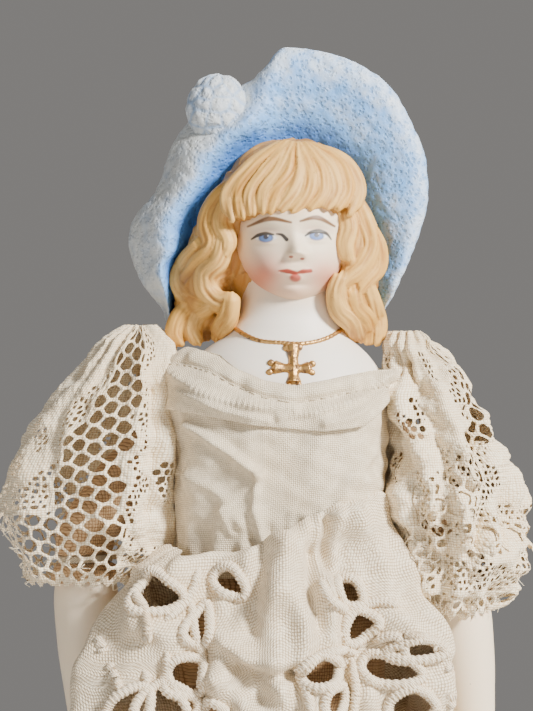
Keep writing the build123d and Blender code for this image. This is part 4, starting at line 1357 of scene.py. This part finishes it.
# The neckline and the lower edge of the band, as (x, height) seen from the front.
NECKLINE = [(-19, 191.2), (-15, 190.6), (-11, 189.6), (-7, 187.3), (-2.4, 185.5), (2.2, 184.7), (9, 185.9),
            (14.7, 187.1), (19, 187.6)]
BAND_EDGE = [(-19, 181.5), (-12, 180.2), (-4, 178.6), (6, 177.6), (12, 178.4), (16, 182.5), (19, 184)]
BACK_NECK = 186.5
BODICE_SPAN = (154.2, 192.6)  # the heights of the linen's bottom and top before its neck is cut
# Each armhole is an upright slot with round ends.
ARMHOLE_Y, ARMHOLE_TOP, ARMHOLE_DROP, ARMHOLE_RADIUS = 1.5, 180.5, 13.5, 6.4
ARMHOLE_X = 11.0  # the armholes are outside this x
# Folds seen from the front: path, height and width.
FOLDS = [
    ([(-14.5, 178.5), (-11.8, 176.9), (-5.3, 172.2), (-3.5, 170.8)], 0.85, 0.8),
    ([(-3.5, 170.8), (-3.9, 167), (-3.5, 163.5), (-2.4, 160.5)], 0.6, 0.7),
    ([(-15, 170.5), (-10, 167.5), (-6, 163)], 0.45, 1.0),
    ([(15, 174), (11, 170), (8.5, 163.5)], 0.4, 1.0),
    ([(14.5, 167.5), (9, 165), (4, 164.2)], 0.3, 0.9),
    ([(7, 177), (5, 171), (6.5, 164)], 0.3, 1.8),
    ([(-9, 165), (-7.5, 161.5)], 0.6, 0.8),
]
BAND_FOLDS = [
    ([(-18, 187.5), (-12, 183.9), (-5, 182.0), (2, 181.4)], 0.95, 0.9),
    ([(17.5, 187), (12, 182.9), (6, 181), (0, 180)], 0.85, 0.8),
    ([(-16, 184), (-9, 181), (-2, 179.4)], 0.7, 0.7),
    ([(16.5, 184.5), (12, 180.5), (7, 179)], 0.75, 0.7),
]
bodice_skin = oval_surface(BODICE, 2.6)


def bodice_surface(turn, z):
    """The bodice with its folds and its gathers at the waist."""
    points = bodice_skin(turn, z)
    shape = points.shape
    flat = points.reshape(-1, 3)
    out = 0.5 * rumple(flat, 5.5, 51) + 0.2 * rumple(flat, 2.2, 52) + 1.5 * raised_by(flat, FOLDS)
    corner = step_between(13.5, 16.5, abs(flat[:, 0])) * spot(flat[:, 2], 0, (188.5, 0), (3.6, 1))
    out += 2.0 * corner * (flat[:, 1] < 0)
    angle = np.arctan2(flat[:, 1], flat[:, 0])
    out += 0.4 * step_between(166, 160, flat[:, 2]) * np.cos(angle * 27 + 2 * np.sin(angle * 4))
    return (flat + outward(angle) * out[:, None]).reshape(shape)


def neckline_at(points):
    """The height of the dress's top edge round the doll."""
    front = np.interp(points[..., 0], *np.array(NECKLINE).T)
    return np.where(points[..., 1] < 0, front, BACK_NECK + 1.5 * (abs(points[..., 0]) / 17) ** 2)


def shown_bodice():
    """The linen bodice, open at the armholes and overlapped down its back."""
    rows, columns = 180, 400
    z = np.linspace(*BODICE_SPAN, rows)[:, None] + np.zeros(columns)
    turn = -FRONT - np.arange(columns) / (columns - 1) * 2 * pi + np.zeros((rows, 1))
    grid = bodice_surface(turn, z)
    points = grid.reshape(-1, 3)
    below = neckline_at(points) - 0.3 - points[:, 2]
    y, up = points[:, 1] - ARMHOLE_Y, points[:, 2] - ARMHOLE_TOP
    beyond = np.where(up > 0, up, np.minimum(up + ARMHOLE_DROP, 0))
    armhole = np.where(abs(points[:, 0]) < ARMHOLE_X, 9.0, np.hypot(y, beyond) - ARMHOLE_RADIUS)
    uv = arc_lengths(grid)
    cloth = np.minimum(below, armhole)
    points, faces, used = cut_out(points, [grid_faces(rows, columns, False)[:, ::-1]], cloth)
    piece = make_mesh("linen_bodice", points, faces, uv=uv[used])
    finish_piece(piece, "torso", LINEN, replaces=["bodice"])


# Down the turned-over strip: how far, how far out, and for the first seven the height above the neckline.
BAND_SECTION = [(0, -0.9, -3.0), (1, -0.5, -0.9), (2, 0.25, 0.25), (3, 1.0, -0.5), (4, 1.05, -1.6),
                (5, 0.5, -2.5), (6, 0.95, -3.4), (7, 1.25, 0), (8, 1.0, 0), (8.6, 0.3, 0)]


def shown_band():
    """The top edge turned over and tacked down in soft pleats, lying across the chest."""
    columns, rows = 300, 70
    turn = FRONT + np.linspace(-1.22, 1.22, columns)
    points = np.zeros((rows, columns, 3))
    top_x = bodice_skin(turn, np.full(columns, 185.0))[:, 0]
    top = np.interp(top_x, *np.array(NECKLINE).T)
    low = np.interp(top_x, *np.array(BAND_EDGE).T)
    steps = np.array(BAND_SECTION, float)
    end = steps[-1, 0]
    at = np.linspace(0, end, rows)
    for row, (place, lift) in enumerate(zip(at, curve(steps[:, 0], steps[:, 1], at))):
        if place <= 6:
            z = top + np.interp(place, steps[:7, 0], steps[:7, 2])
        else:
            share = np.clip((place - 6) / 2, 0, 1) ** 0.9
            z = (top - 3.4) * (1 - share) + low * share + 0.5 * max(place - 8, 0)
        pleat = 0.12 * np.cos(turn * 26 + 1.5 * np.sin(turn * 7) + 0.15 * place)
        pleat = pleat * np.exp(-((place - 4) / 1.6) ** 2)
        sag = 0.7 * np.sin(turn * 4.3 + place * 0.6) * (place > 2)
        base = bodice_surface(turn, z)
        out = lift + pleat + sag * 0.6 + 0.15 * rumple(base, 2.6, 61)
        points[row] = base + outward(turn) * out[:, None]
    points += outward(turn) * raised_by(points.reshape(-1, 3), BAND_FOLDS).reshape(rows, columns, 1)
    faces = [grid_faces(rows, columns, False)]
    piece = make_mesh("folded_band", points.reshape(-1, 3), faces, uv=arc_lengths(points))
    finish_piece(piece, "torso", LINEN, replaces=["bodice_band"])
    seam = points[int(rows * 5 / end)] + np.array([0, -0.10, 0])
    shapes = [tube(seam[start:start + 6], 0.13, 6) for start in range(6, columns - 12, 11)]
    finish_piece(make_mesh("band_stitches", *joined(shapes)), "torso", THREAD)


def shown_fastenings():
    """The thread that holds the skirt's gathers, and small china buttons down the back."""
    angle = np.linspace(0, 2 * pi * 3, 500, endpoint=False)
    radius = 0.15 * np.sin(angle * 7)
    path = np.column_stack([(16.9 + radius) * np.cos(angle), (12.9 + radius) * np.sin(angle),
                            157.2 + 0.25 * angle / pi / 2 + 0.15 * np.sin(angle * 5)])
    piece = make_mesh("gathering_thread", *tube(path, 0.22, 6))
    finish_piece(piece, "torso", THREAD, replaces=["waist_thread"])
    dress_node("back_buttons", BUTTON)


# ---- Skirt -------------------------------------------------------------------
# Level ovals of the skirt: height, half width and half depth.
SKIRT = [(170, 17.7, 13.6), (166, 17.8, 13.8), (163, 18.0, 14.0), (161, 18.3, 14.4), (158.5, 19.0, 15.6),
         (154, 20.6, 17.6), (148, 21.8, 18.7), (140, 22.2, 20), (133, 22.8, 21), (120, 24.5, 24),
         (105, 30, 28.5), (85, 38, 32.4), (60, 46.0, 37.6), (45, 49.4, 39.6), (42, 50, 40)]
# How far each front corner stands out, by height.
CORNERS = [(170, 0), (166, 0), (161, 0.5), (155, 4.2), (148, 9.0), (140, 12.0), (133, 13.5), (120, 12.0),
           (105, 7.0), (85, 3.0), (60, 0), (42, 0)]
CORNER_WIDTH = radians(17)
CORNER_SHARES = ((-28, 0.62), (-152, 1.14))  # where each front corner is, in degrees, and how full
# Each wave of gathers: how many round the doll, its phase and its height; then how deep they are by height.
GATHERS = [(11, 0.3, 0.8), (17, 1.9, 0.6), (7, 4.0, 0.5), (29, 2.2, 0.35)]
GATHER_DEPTH = ([45, 85, 120, 140, 155, 161, 163, 170], [2.4, 2.0, 1.4, 1.1, 0.9, 0.5, 0.35, 0.3])
CRUMPLE_DEPTH = ([45, 120, 158, 163], [0.8, 1.0, 0.9, 0.35])
SKIRT_FOLDS = [
    ([(1.2, 161), (1.2, 155.4), (2.4, 150.2), (3.6, 144.2)], 2.3, 2.2),
    ([(-3.0, 159.5), (-4.0, 152), (-4.8, 146.6)], -1.6, 1.3),
    ([(4.8, 158), (4.4, 153.4), (6.0, 147.4)], -1.7, 1.2),
    ([(-8.0, 144.4), (-3.2, 142.0), (2.4, 142.0)], 1.8, 1.5),
    ([(-6.4, 140.7), (-2, 139.6), (2.6, 139.8)], -1.7, 1.0),
    ([(-9.2, 138.8), (-7.0, 136), (-5.6, 132.6)], 2.0, 2.2),
    ([(0.4, 137.8), (1.6, 132.8)], 1.7, 1.7),
    ([(-16.4, 151.6), (-16.0, 147.2)], 1.9, 1.9),
    ([(-21.6, 141), (-24, 138), (-25.6, 134)], 1.8, 2.0),
    ([(10.6, 164.5), (12.4, 160.5), (13.8, 157.2)], 2.4, 2.6),
    ([(6.8, 163.5), (7.0, 160), (7.6, 156.6)], -2.3, 0.9),
    ([(16.4, 147.6), (18.0, 143.2)], 1.8, 2.0),
    ([(-12.6, 157.6), (-14.5, 155.4), (-17.5, 155.6)], 1.5, 1.3),
    ([(19.6, 152), (21.4, 148), (22, 145)], -1.4, 1.2),
    ([(13.4, 138.6), (14.4, 133)], 1.6, 1.5),
]
skirt_skin = oval_surface([(z, a, b, 0, 0) for z, a, b in SKIRT])


def skirt_surface(turn, z):
    """The gathered skirt, which bunches forward at its two front corners and hangs clear of the hands."""
    points = skirt_skin(turn, z)
    shape = points.shape
    flat, angle, height = points.reshape(-1, 3), np.ravel(turn), np.ravel(z) + 0 * np.ravel(turn)
    corners = np.array(CORNERS[::-1], float)
    bulge = curve(corners[:, 0], corners[:, 1], height)
    facing = wrapped(angle)
    at_corner = sum(share * np.exp(-(((facing - radians(middle)) / CORNER_WIDTH) ** 2))
                    for middle, share in CORNER_SHARES)
    beside_hands = np.exp(-((abs(abs(facing) - pi / 2) - pi / 2) / radians(26)) ** 2)
    beside_hands *= spot(height, 0 * height, (132, 0), (30, 1))
    wave = sum(share * np.cos(count * angle + phase + 0.6 * np.sin(height / 14 + count))
               for count, phase, share in GATHERS)
    out = bulge * at_corner + np.interp(height, *GATHER_DEPTH) * wave * (1 - 0.85 * beside_hands)
    below = np.maximum(skirt_top(angle) - height, 0)
    out = out + 2.3 * (1 - np.exp(-below / 0.9)) * np.exp(-below / 6.0)
    top_pleats = np.exp(-below / 5) * 0.38 * np.cos(31 * angle + 3 * np.sin(5 * angle) + 0.4 * np.sin(height))
    crumple = 1.1 * rumple(flat, 7.5, 71) + 0.62 * rumple(flat, 3.2, 72, 14)
    crumple = crumple * np.interp(height, *CRUMPLE_DEPTH) * (1 - 0.5 * beside_hands)
    out = out + top_pleats + raised_by(flat, SKIRT_FOLDS) + crumple
    flat = flat + outward(angle) * out[:, None]
    flat[:, 2] += 0.5 * rumple(flat, 7, 73) * step_between(166, 156, height) * step_between(42, 60, height)
    return flat.reshape(shape)


def stretch_at(turn, z):
    """Millimetres of skirt to a radian."""
    ends = skirt_skin(np.array([turn - 0.01, turn + 0.01]), np.array([z, z]))
    return np.linalg.norm(ends[1] - ends[0]) / 0.02


# Eyelets on the front, seen from there: x, height, half width, half height, lean in degrees.
FRONT_EYELETS = [
    (-8.0, 154.2, 2.5, 1.4, -10), (-24.0, 147.4, 2.0, 3.5, -15), (-19.6, 152.4, 1.6, 2.3, 25),
    (-14.6, 139.4, 1.8, 2.4, 10), (-29.2, 141.8, 1.1, 2.7, -20), (-12.6, 147.4, 0.9, 2.5, 5),
    (-18.4, 135.2, 1.9, 2.3, 15), (10.0, 153.0, 2.2, 1.6, -30), (12.4, 147.2, 2.1, 1.9, 30),
    (6.8, 140.8, 2.8, 1.7, 15), (8.8, 135.8, 2.0, 1.8, 30), (16.8, 140.4, 2.5, 1.6, -5),
    (21.8, 143.6, 1.6, 1.0, 10), (24.4, 137.8, 1.4, 2.7, -20), (20.6, 134.6, 1.7, 2.1, 10),
    (-23.6, 134.6, 1.4, 2.0, -10), (-10.6, 133.4, 1.5, 1.4, 20),
]
# Corded stems between the front's eyelets, seen from there.
FRONT_STEMS = [
    [(-14.2, 151.4), (-13.4, 145.8), (-12.0, 141), (-12.6, 136.4)],
    [(-17.8, 143.4), (-17.5, 138.8), (-15.2, 135.2), (-14.2, 132)],
    [(-28.8, 145.4), (-26.6, 141), (-25.2, 137.6)], [(-23.8, 152.8), (-21.4, 149.8), (-20.6, 145.2)],
    [(-21.4, 139.8), (-20.6, 137.2)], [(-12.8, 155.8), (-14.4, 152), (-18, 148.6)],
    [(6.2, 154.8), (8.2, 151.2), (10.8, 149.4)], [(9.4, 146), (12, 149.8), (15.4, 150.6), (19.0, 150.2)],
    [(2.2, 140.4), (5.4, 143), (8.8, 143.8), (12.0, 142.6)], [(11.2, 141.6), (11.9, 137.4), (11.3, 132.2)],
    [(3.4, 139.4), (4.6, 135.8), (4.6, 132)], [(19.8, 146.2), (23.4, 145), (26.4, 140.4), (26.8, 134.6)],
    [(14.6, 144.6), (18.6, 145.6), (20, 142.2)],
]
FRONT_DROP = 0.3  # how drop-shaped the front's eyelets are
PETAL_REACH = 4.3  # how far a petal is from its flower's middle
EYELETS_FROM = 130.0  # the front's own eyelets are above this height
# Rows of flowers over the rest: height, how many, the first one's angle in degrees, and their size.
FLOWER_ROWS = [(144, 6, 30, 0.85), (122, 9, 12, 1.0), (99, 11, 0, 1.15), (76, 13, 10, 1.25)]
SCALLOPS = 30
HOLE_REACH = 6.0  # no hole is wider or taller than this from its middle


def skirt_holes():
    """Every eyelet as (angle, height, half width, half height, lean, stretch), with how drop-shaped it is."""
    holes = []
    for x, z, across, down, lean in FRONT_EYELETS:
        turn = turn_at(skirt_surface, x, z)
        stretch = 1.12 * stretch_at(turn, z)
        holes.append(((turn, z, across + 0.35, down + 0.3, radians(lean), stretch), FRONT_DROP))
    for z, count, first, size in FLOWER_ROWS:
        for number in range(count):
            turn = radians(first) + number * 2 * pi / count
            if z > EYELETS_FROM and radians(-175) < wrapped(turn) < radians(-5):
                continue  # the front's own eyelets are here
            stretch = stretch_at(turn, z)
            for petal in range(5):
                lean = petal * 2 * pi / 5 + 0.3 * number
                reach = PETAL_REACH * size
                at = turn - sin(lean) * reach / stretch, z + cos(lean) * reach
                holes.append(((*at, 1.35 * size, 2.1 * size, lean, stretch), -0.35))
            holes.append(((turn, z, 0.75 * size, 0.75 * size, 0.0, stretch), 0.0))
            between = turn + pi / count
            for side in (-1, 1):
                at = between, z - 2.6 * side * size
                holes.append(((*at, 0.95 * size, 2.0 * size, side * 0.6, stretch), 0.2))
    for number in range(SCALLOPS):
        turn = (number + 0.5) * 2 * pi / SCALLOPS
        holes.append(((turn, 51.4, 1.7, 2.3, 0.0, stretch_at(turn, 51)), 0.2))
        holes.append(((turn + pi / SCALLOPS, 57.2, 1.1, 1.1, 0.0, stretch_at(turn, 57)), 0.0))
    return holes


def hem_height(turn):
    """The height of the skirt's scalloped hem."""
    return SKIRT_HEM - 1.0 + 2.2 * (1 - abs(np.sin(turn * SCALLOPS / 2))) ** 1.4


# The height of the skirt's top edge at angles round the doll, in degrees; it puffs up in front.
SKIRT_EDGE = [(-180, 160.0), (-150, 158.8), (-125, 158.3), (-107, 158.7), (-98, 160.8), (-72, 164.4),
              (-57, 166.8), (-38, 168.0), (-20, 166.2), (0, 162.6), (40, 161.5), (90, 161.5), (140, 161.0),
              (180, 160.0)]


def skirt_top(turn):
    """The height of the skirt's top edge."""
    edge = np.array(SKIRT_EDGE)
    height = curve(edge[:, 0], edge[:, 1], np.degrees(wrapped(turn)))
    return height + 0.3 * np.sin(9 * turn) + 0.2 * np.sin(23 * turn + 1)


SKIRT_BLEND = ("torso", "hips", (0, 0, 0.135), (0, 0, 0.100))  # the torso and hips, and two points between them, in metres
FRONT_CORD, FLOWER_CORD, STEM_CORD, HEM_CORD = 0.84, 0.6, 0.78, 0.62  # the cords' radii
CORD_PITCH = 0.66  # from one buttonhole stitch to the next


def shown_skirt():
    """The cutwork skirt in a front and a back width, and the buttonholed cords round its eyelets and hem."""
    rows, columns = 235, 340
    holes = skirt_holes()
    v = np.linspace(0, 1, rows)[:, None]
    for name, start in (("skirt_front", -pi), ("skirt_back", 0.0)):
        turn = start + np.linspace(0, pi, columns)[None] + 0 * v
        z = skirt_top(turn) * (1 - v) + (SKIRT_HEM - 1.2) * v
        grid = skirt_surface(turn, z)
        points = grid.reshape(-1, 3)
        cloth = (z - hem_height(turn)).ravel()
        flat_turn, flat_z = turn.ravel(), z.ravel()
        for hole, petal in holes:
            aside = abs(wrapped(flat_turn - hole[0])) * hole[5]
            near = (abs(flat_z - hole[1]) < HOLE_REACH) & (aside < HOLE_REACH)
            cloth[near] = np.minimum(cloth[near], hole_depth(flat_turn[near], flat_z[near], hole, petal))
        uv = arc_lengths(grid)
        points, faces, used = cut_out(points, [grid_faces(rows, columns, False)], cloth)
        piece = make_mesh(name, points, faces, uv=uv[used])
        finish_piece(piece, "torso", COTTON, replaces=["skirt"], blend=SKIRT_BLEND)
    shapes = []
    for (turn, z, across, down, lean, stretch), petal in holes:
        path = ring_path(turn, z, across + 0.4, down + 0.4, lean, stretch, petal)
        thick = FRONT_CORD if petal == FRONT_DROP else FLOWER_CORD
        shapes.append(corded_edge(skirt_surface, path, thick, 0.15, CORD_PITCH, 8))
    for stem in FRONT_STEMS:
        flat = through(stem, 30)
        path = [(turn_at(skirt_surface, x, z), z) for x, z in flat]
        shapes.append(corded_edge(skirt_surface, path, STEM_CORD, 0.2, CORD_PITCH, 8, closed=False))
    turn = np.linspace(0, 2 * pi, 1400)
    hem = np.column_stack([turn, hem_height(turn)])
    shapes.append(corded_edge(skirt_surface, hem, HEM_CORD, 0.1, 0.8, closed=False))
    piece = make_mesh("skirt_cording", *joined(shapes))
    finish_piece(piece, "torso", CORD, replaces=["skirt"], blend=SKIRT_BLEND)


# ---- Sleeves -----------------------------------------------------------------
# Level ovals of each puff: height, half width, half depth, middle's y and x.
RIGHT_PUFF = [(152.3, 8.0, 9.5, 1.5, -32.2), (154, 9.2, 10.6, 1.5, -31.8), (156.5, 11.4, 12, 1.5, -31.2),
              (162, 14.2, 13.2, 1.5, -30.6), (170, 14.6, 13.5, 1.5, -29.8), (178, 12.8, 12.6, 1.5, -27.8),
              (184, 10.4, 10.8, 1.5, -25.6), (189, 7.6, 8.0, 1.5, -24.2), (192.5, 5.0, 5.2, 1.5, -23.2),
              (194.6, 2.4, 3.0, 1.5, -22.8)]
LEFT_PUFF = [(147.0, 5.6, 8.0, 1.5, 27.2), (150, 7.0, 9.8, 1.5, 27.8), (156, 9.3, 11.6, 1.5, 28.4),
             (164, 10.3, 12.4, 1.5, 27.8), (172, 9.5, 12.2, 1.5, 26.6), (179, 8.1, 11.0, 1.5, 25.1),
             (185, 6.4, 8.6, 1.5, 23.6), (190, 4.8, 5.6, 1.5, 22.4), (193.6, 2.4, 3.0, 1.5, 21.6)]
SLEEVE_NEAR = 16.9  # the sleeves keep outside this x, beside the bodice
LACE_RADIUS = 12.0  # the radius at which the lace's pattern is true to size
LACE_FRAYS = 60
SLANT = 0.26  # how far the net's rows are turned, in radians
NET_CELL, NET_THREAD = (2.6, 1.85), 0.23  # the size of a mesh, and half its thread's width
FINE_CELL, FINE_THREAD = (1.0, 0.95), 0.18
NET_BORDER = 0.34  # half the width of the thread between net and close lace
RIGHT_FOLDS = [
    ([(-23.5, 190), (-22, 183), (-22.6, 176), (-24, 168), (-22.5, 160)], 1.5, 1.5),
    ([(-28, 163), (-25, 159), (-20.5, 157)], 1.5, 1.4),
    ([(-19.5, 187), (-18.4, 178), (-18.8, 167)], 1.0, 1.2),
    ([(-20.6, 184), (-20.2, 176), (-20.8, 165)], -0.9, 0.9),
    ([(-36, 182), (-40, 173), (-40.5, 163)], 0.8, 1.4),
    ([(-30, 188), (-33, 181), (-34.5, 173)], 0.6, 1.2),
    ([(-33, 156.5), (-29, 155), (-25, 156)], 0.8, 1.1),
]
LEFT_FOLDS = [
    ([(22, 190), (25, 184), (28, 177), (30.5, 170)], 1.8, 1.3),
    ([(19, 185), (21.5, 177), (24, 169), (25, 160)], 1.9, 1.3),
    ([(20.5, 188), (23.4, 180), (26.2, 172), (27.6, 163)], -1.3, 0.9),
    ([(31.5, 180), (34, 172), (33.6, 163), (30.5, 156)], 1.8, 1.3),
    ([(30.4, 177), (31.8, 170), (31, 162), (28.6, 156)], -1.2, 0.9),
    ([(27.5, 168), (29.2, 161), (28, 154), (26, 149)], 1.7, 1.2),
    ([(20.5, 170), (22, 161), (24, 152)], 1.5, 1.2),
    ([(34, 158), (31, 153.5), (28, 151)], 1.2, 1.1),
]


def sleeve_surface(ovals, side, crumple, folds, lift=0.0, flare=0.0, waves=0):
    """A gathered puff, flat against the bodice; lift, flare and waves make a flounce on it."""
    skin = oval_surface(ovals, 2.15)
    low, high = ovals[0][0], ovals[-1][0]
    soft = 0.35  # how gently the puff meets the bodice's side

    def place(turn, z):
        """The point at an angle and a height."""
        points = skin(turn, z)
        shape = points.shape
        flat, angle, height = points.reshape(-1, 3), np.ravel(turn), np.ravel(z) + 0 * np.ravel(turn)
        up = (height - low) / (high - low)
        out = 0.45 * step_between(0.55, 0.9, up) * np.cos(15 * angle + 2 * np.sin(3 * angle))
        out += 0.75 * step_between(0.75, 0.3, up) * np.cos(6 * angle + 1.2 + 2 * up)
        out += 0.7 * step_between(0.22, 0.0, up) * np.cos(11 * angle)
        out += crumple * (rumple(flat, 5.0, 81 + side) + 0.5 * rumple(flat, 2.3, 83 + side, 14))
        out += raised_by(flat, folds)
        if waves:
            top, bottom = np.max(height), np.min(height)
            fall = (top - height) / (top - bottom + 1e-6)
            ripple = np.cos(waves * angle + 1.5 * np.sin(4 * angle))
            out += lift * step_between(0, 0.15, fall) + flare * fall + 0.9 * fall * ripple
        flat = flat + outward(angle) * out[:, None]
        away = side * flat[:, 0]
        flat[:, 0] = side * (SLEEVE_NEAR + np.logaddexp(0, (away - SLEEVE_NEAR) / soft) * soft)
        return flat.reshape(shape)

    return place


def lace_thread(u, w, net_middle, net_half, low_net, seed, flowers):
    """How much thread there is at each place of the lace: above 0 where there is some."""
    along, across = w * cos(SLANT) - u * sin(SLANT), u * cos(SLANT) + w * sin(SLANT)
    net = NET_THREAD - cell_walls(along, across, *NET_CELL, 0.2, seed, 0.10)
    wander = 0.5 * np.sin(w * 0.9) + 0.4 * np.sin(u * 0.7 + w * 0.31)
    low = np.minimum(low_net[0] - w, low_net[1] - u) * 0.8
    band = np.maximum(np.maximum(net_half - abs(u - net_middle), low) + wander, low_net[2] - w)
    dense = np.full(u.shape, 0.5)
    fine = FINE_THREAD - cell_walls(u, w, *FINE_CELL, 0.75, seed + 3)
    patch = np.sin(u * 0.45 + seed) * np.sin(w * 0.36 + 1.3 * seed) + 0.35 * np.sin(u * 1.3 + w * 0.9)
    edging = 1.9 + 1.1 * np.sin(w * 0.55 + seed) + 0.5 * np.sin(u * 1.7)
    dense = np.where((patch > 0.72) | (-band < edging), np.minimum(dense, fine), dense)
    for flower_u, flower_w in flowers:
        for petal in range(7):  # six petals and a middle
            angle = petal * 2 * pi / 6
            reach = 1.35 if petal < 6 else 0.0
            hole = np.hypot(u - flower_u - reach * cos(angle), w - flower_w - reach * sin(angle)) - 0.5
            dense = np.minimum(dense, hole)
    return np.maximum(np.where(band > 0, net, dense), NET_BORDER - abs(band))


def lace_piece(name, surface, low, high, net, seed, flowers=(), turns=(0, 2 * pi), grid=(230, 460),
               scallop=(26, 1.1)):
    """A lace sheet cut to its threads, and the share of it that is thread; turns are from the doll's back."""
    rows, columns = grid
    closed = turns[1] - turns[0] > 6.28
    turn = -FRONT + np.linspace(*turns, columns, endpoint=not closed)[None] + np.zeros((rows, 1))
    z = low + (high - low) * np.linspace(0, 1, rows)[:, None] + 0 * turn
    points = surface(turn, z).reshape(-1, 3)
    u = wrapped(turn - FRONT).ravel() * LACE_RADIUS
    w = z.ravel()
    thread = lace_thread(u, w, net[0] + net[2] * (w - 170), net[1] - 0.10 * (w - 165), net[3:], seed, flowers)
    edge = w - low - scallop[1] * (1 - abs(np.sin(turn.ravel() * scallop[0] / 2)))
    thread = np.minimum(np.maximum(thread, 0.45 - abs(edge - 0.8)), edge)
    share = float((thread > 0).mean())
    faces = [grid_faces(rows, columns, closed)]
    relief = 0.16 * np.clip(thread / 0.25, 0, 1) + 0.06 * rumple(points, 0.6, seed)
    points = points + normals_of(points, faces) * relief[:, None]
    points, faces, used = cut_out(points, faces, thread)
    fibres, fibre_faces = frayed(surface, low, turns, seed)
    uv = np.concatenate([np.column_stack([u, w])[used], np.zeros((len(fibres), 2))])
    return make_mesh(name, *joined([(points, faces), (fibres, fibre_faces)]), uv=uv), share


def frayed(surface, low, turns, seed):
    """Short curled fibres that stand out of a lace edge."""
    chance = np.random.default_rng(seed)
    shapes = []
    for _ in range(LACE_FRAYS):
        turn = -FRONT + chance.uniform(*turns)
        z = low + 0.8 + abs(chance.normal(0, 4.5))
        start = surface(np.array([turn]), np.array([z]))[0]
        way = np.array([cos(turn), sin(turn), chance.normal(-0.3, 0.6)])
        bend = chance.normal(0, 0.9, (3, 3))
        length = chance.uniform(0.5, 1.1)
        path = [start - 0.2 * way]
        for far, bent, sway in zip((0.5, 1.0, 1.2), (0.2, 0.5, 0.9), bend):
            path.append(start + length * far * way + bent * sway)
        shapes.append(tube(through(path, 9), np.linspace(0.075, 0.04, 9), 4))
    return joined(shapes)


def lace_sheet(piece, side_name, replaced=()):
    """Gives a lace piece its lace material, with its place baked into its points and left unattached."""
    side = 1 if side_name == "left" else -1
    bend = ((side * 0.020, 0.0015, 0.184), (side * 0.030, 0.0015, 0.160))
    blend = (f"shoulder_{side_name}", f"arm_{side_name}", *bend)
    finish_piece(piece, f"arm_{side_name}", LACE, replaces=replaced, blend=blend)


# Each sleeve's side, puff, crumple and folds; its net, its seed and its flowers. The net has a middle and a
# half width round the arm, how much its middle moves with height, and the three edges of its low part.
SLEEVES = {
    "right": (-1, RIGHT_PUFF, 0.55, RIGHT_FOLDS, (-0.6, 5.2, 0.05, 164.5, 1.5, 156.0), 3,
              [(10.2, 171.0), (-11.5, 172.0)]),
    "left": (1, LEFT_PUFF, 1.0, LEFT_FOLDS, (8.5, 3.6, 0.1, 150.5, 40, 151.0), 7,
             [(-4.5, 178.0), (-2.5, 162.0)]),
}
# Each flounce's bottom and top, its turns in degrees, where its net lies, its seed and its number of waves.
FLOUNCES = [
    (158.0, 176.0, (150, 330), (2.0, 4.0, 0.5, 162.5, 40, 161.0), 17, 13),
    (148.2, 164.0, (110, 300), (0.0, 4.0, 0.6, 152.5, 40, 151.0), 23, 12),
]


def shown_sleeves():
    """Lace puffs over both arms; the left one is crushed, with two flounces of its lace lying over it."""
    for name, (side, ovals, crumple, folds, net, seed, flowers) in SLEEVES.items():
        surface = sleeve_surface(ovals, side, crumple, folds)
        low, high = ovals[0][0], ovals[-1][0]
        piece, share = lace_piece(f"lace_sleeve_{name}", surface, low, high, net, seed, flowers)
        lace_sheet(piece, name, [f"sleeve_{name}"])
    for number, (low, high, turns, net, seed, waves) in enumerate(FLOUNCES, 1):
        surface = sleeve_surface(LEFT_PUFF, 1, 1.0, LEFT_FOLDS, 0.5, 1.1, waves)
        piece, share = lace_piece(f"lace_flounce_{number}", surface, low, high, net, seed,
                                  turns=[radians(turn) for turn in turns], grid=(100, 260), scallop=(30, 1.3))
        lace_sheet(piece, "left")


shown_body()
for doll_side in ("left", "right"):
    shown_arm(doll_side)
    shown_leg(doll_side)
shown_bodice()
shown_band()
shown_fastenings()
shown_skirt()
shown_sleeves()
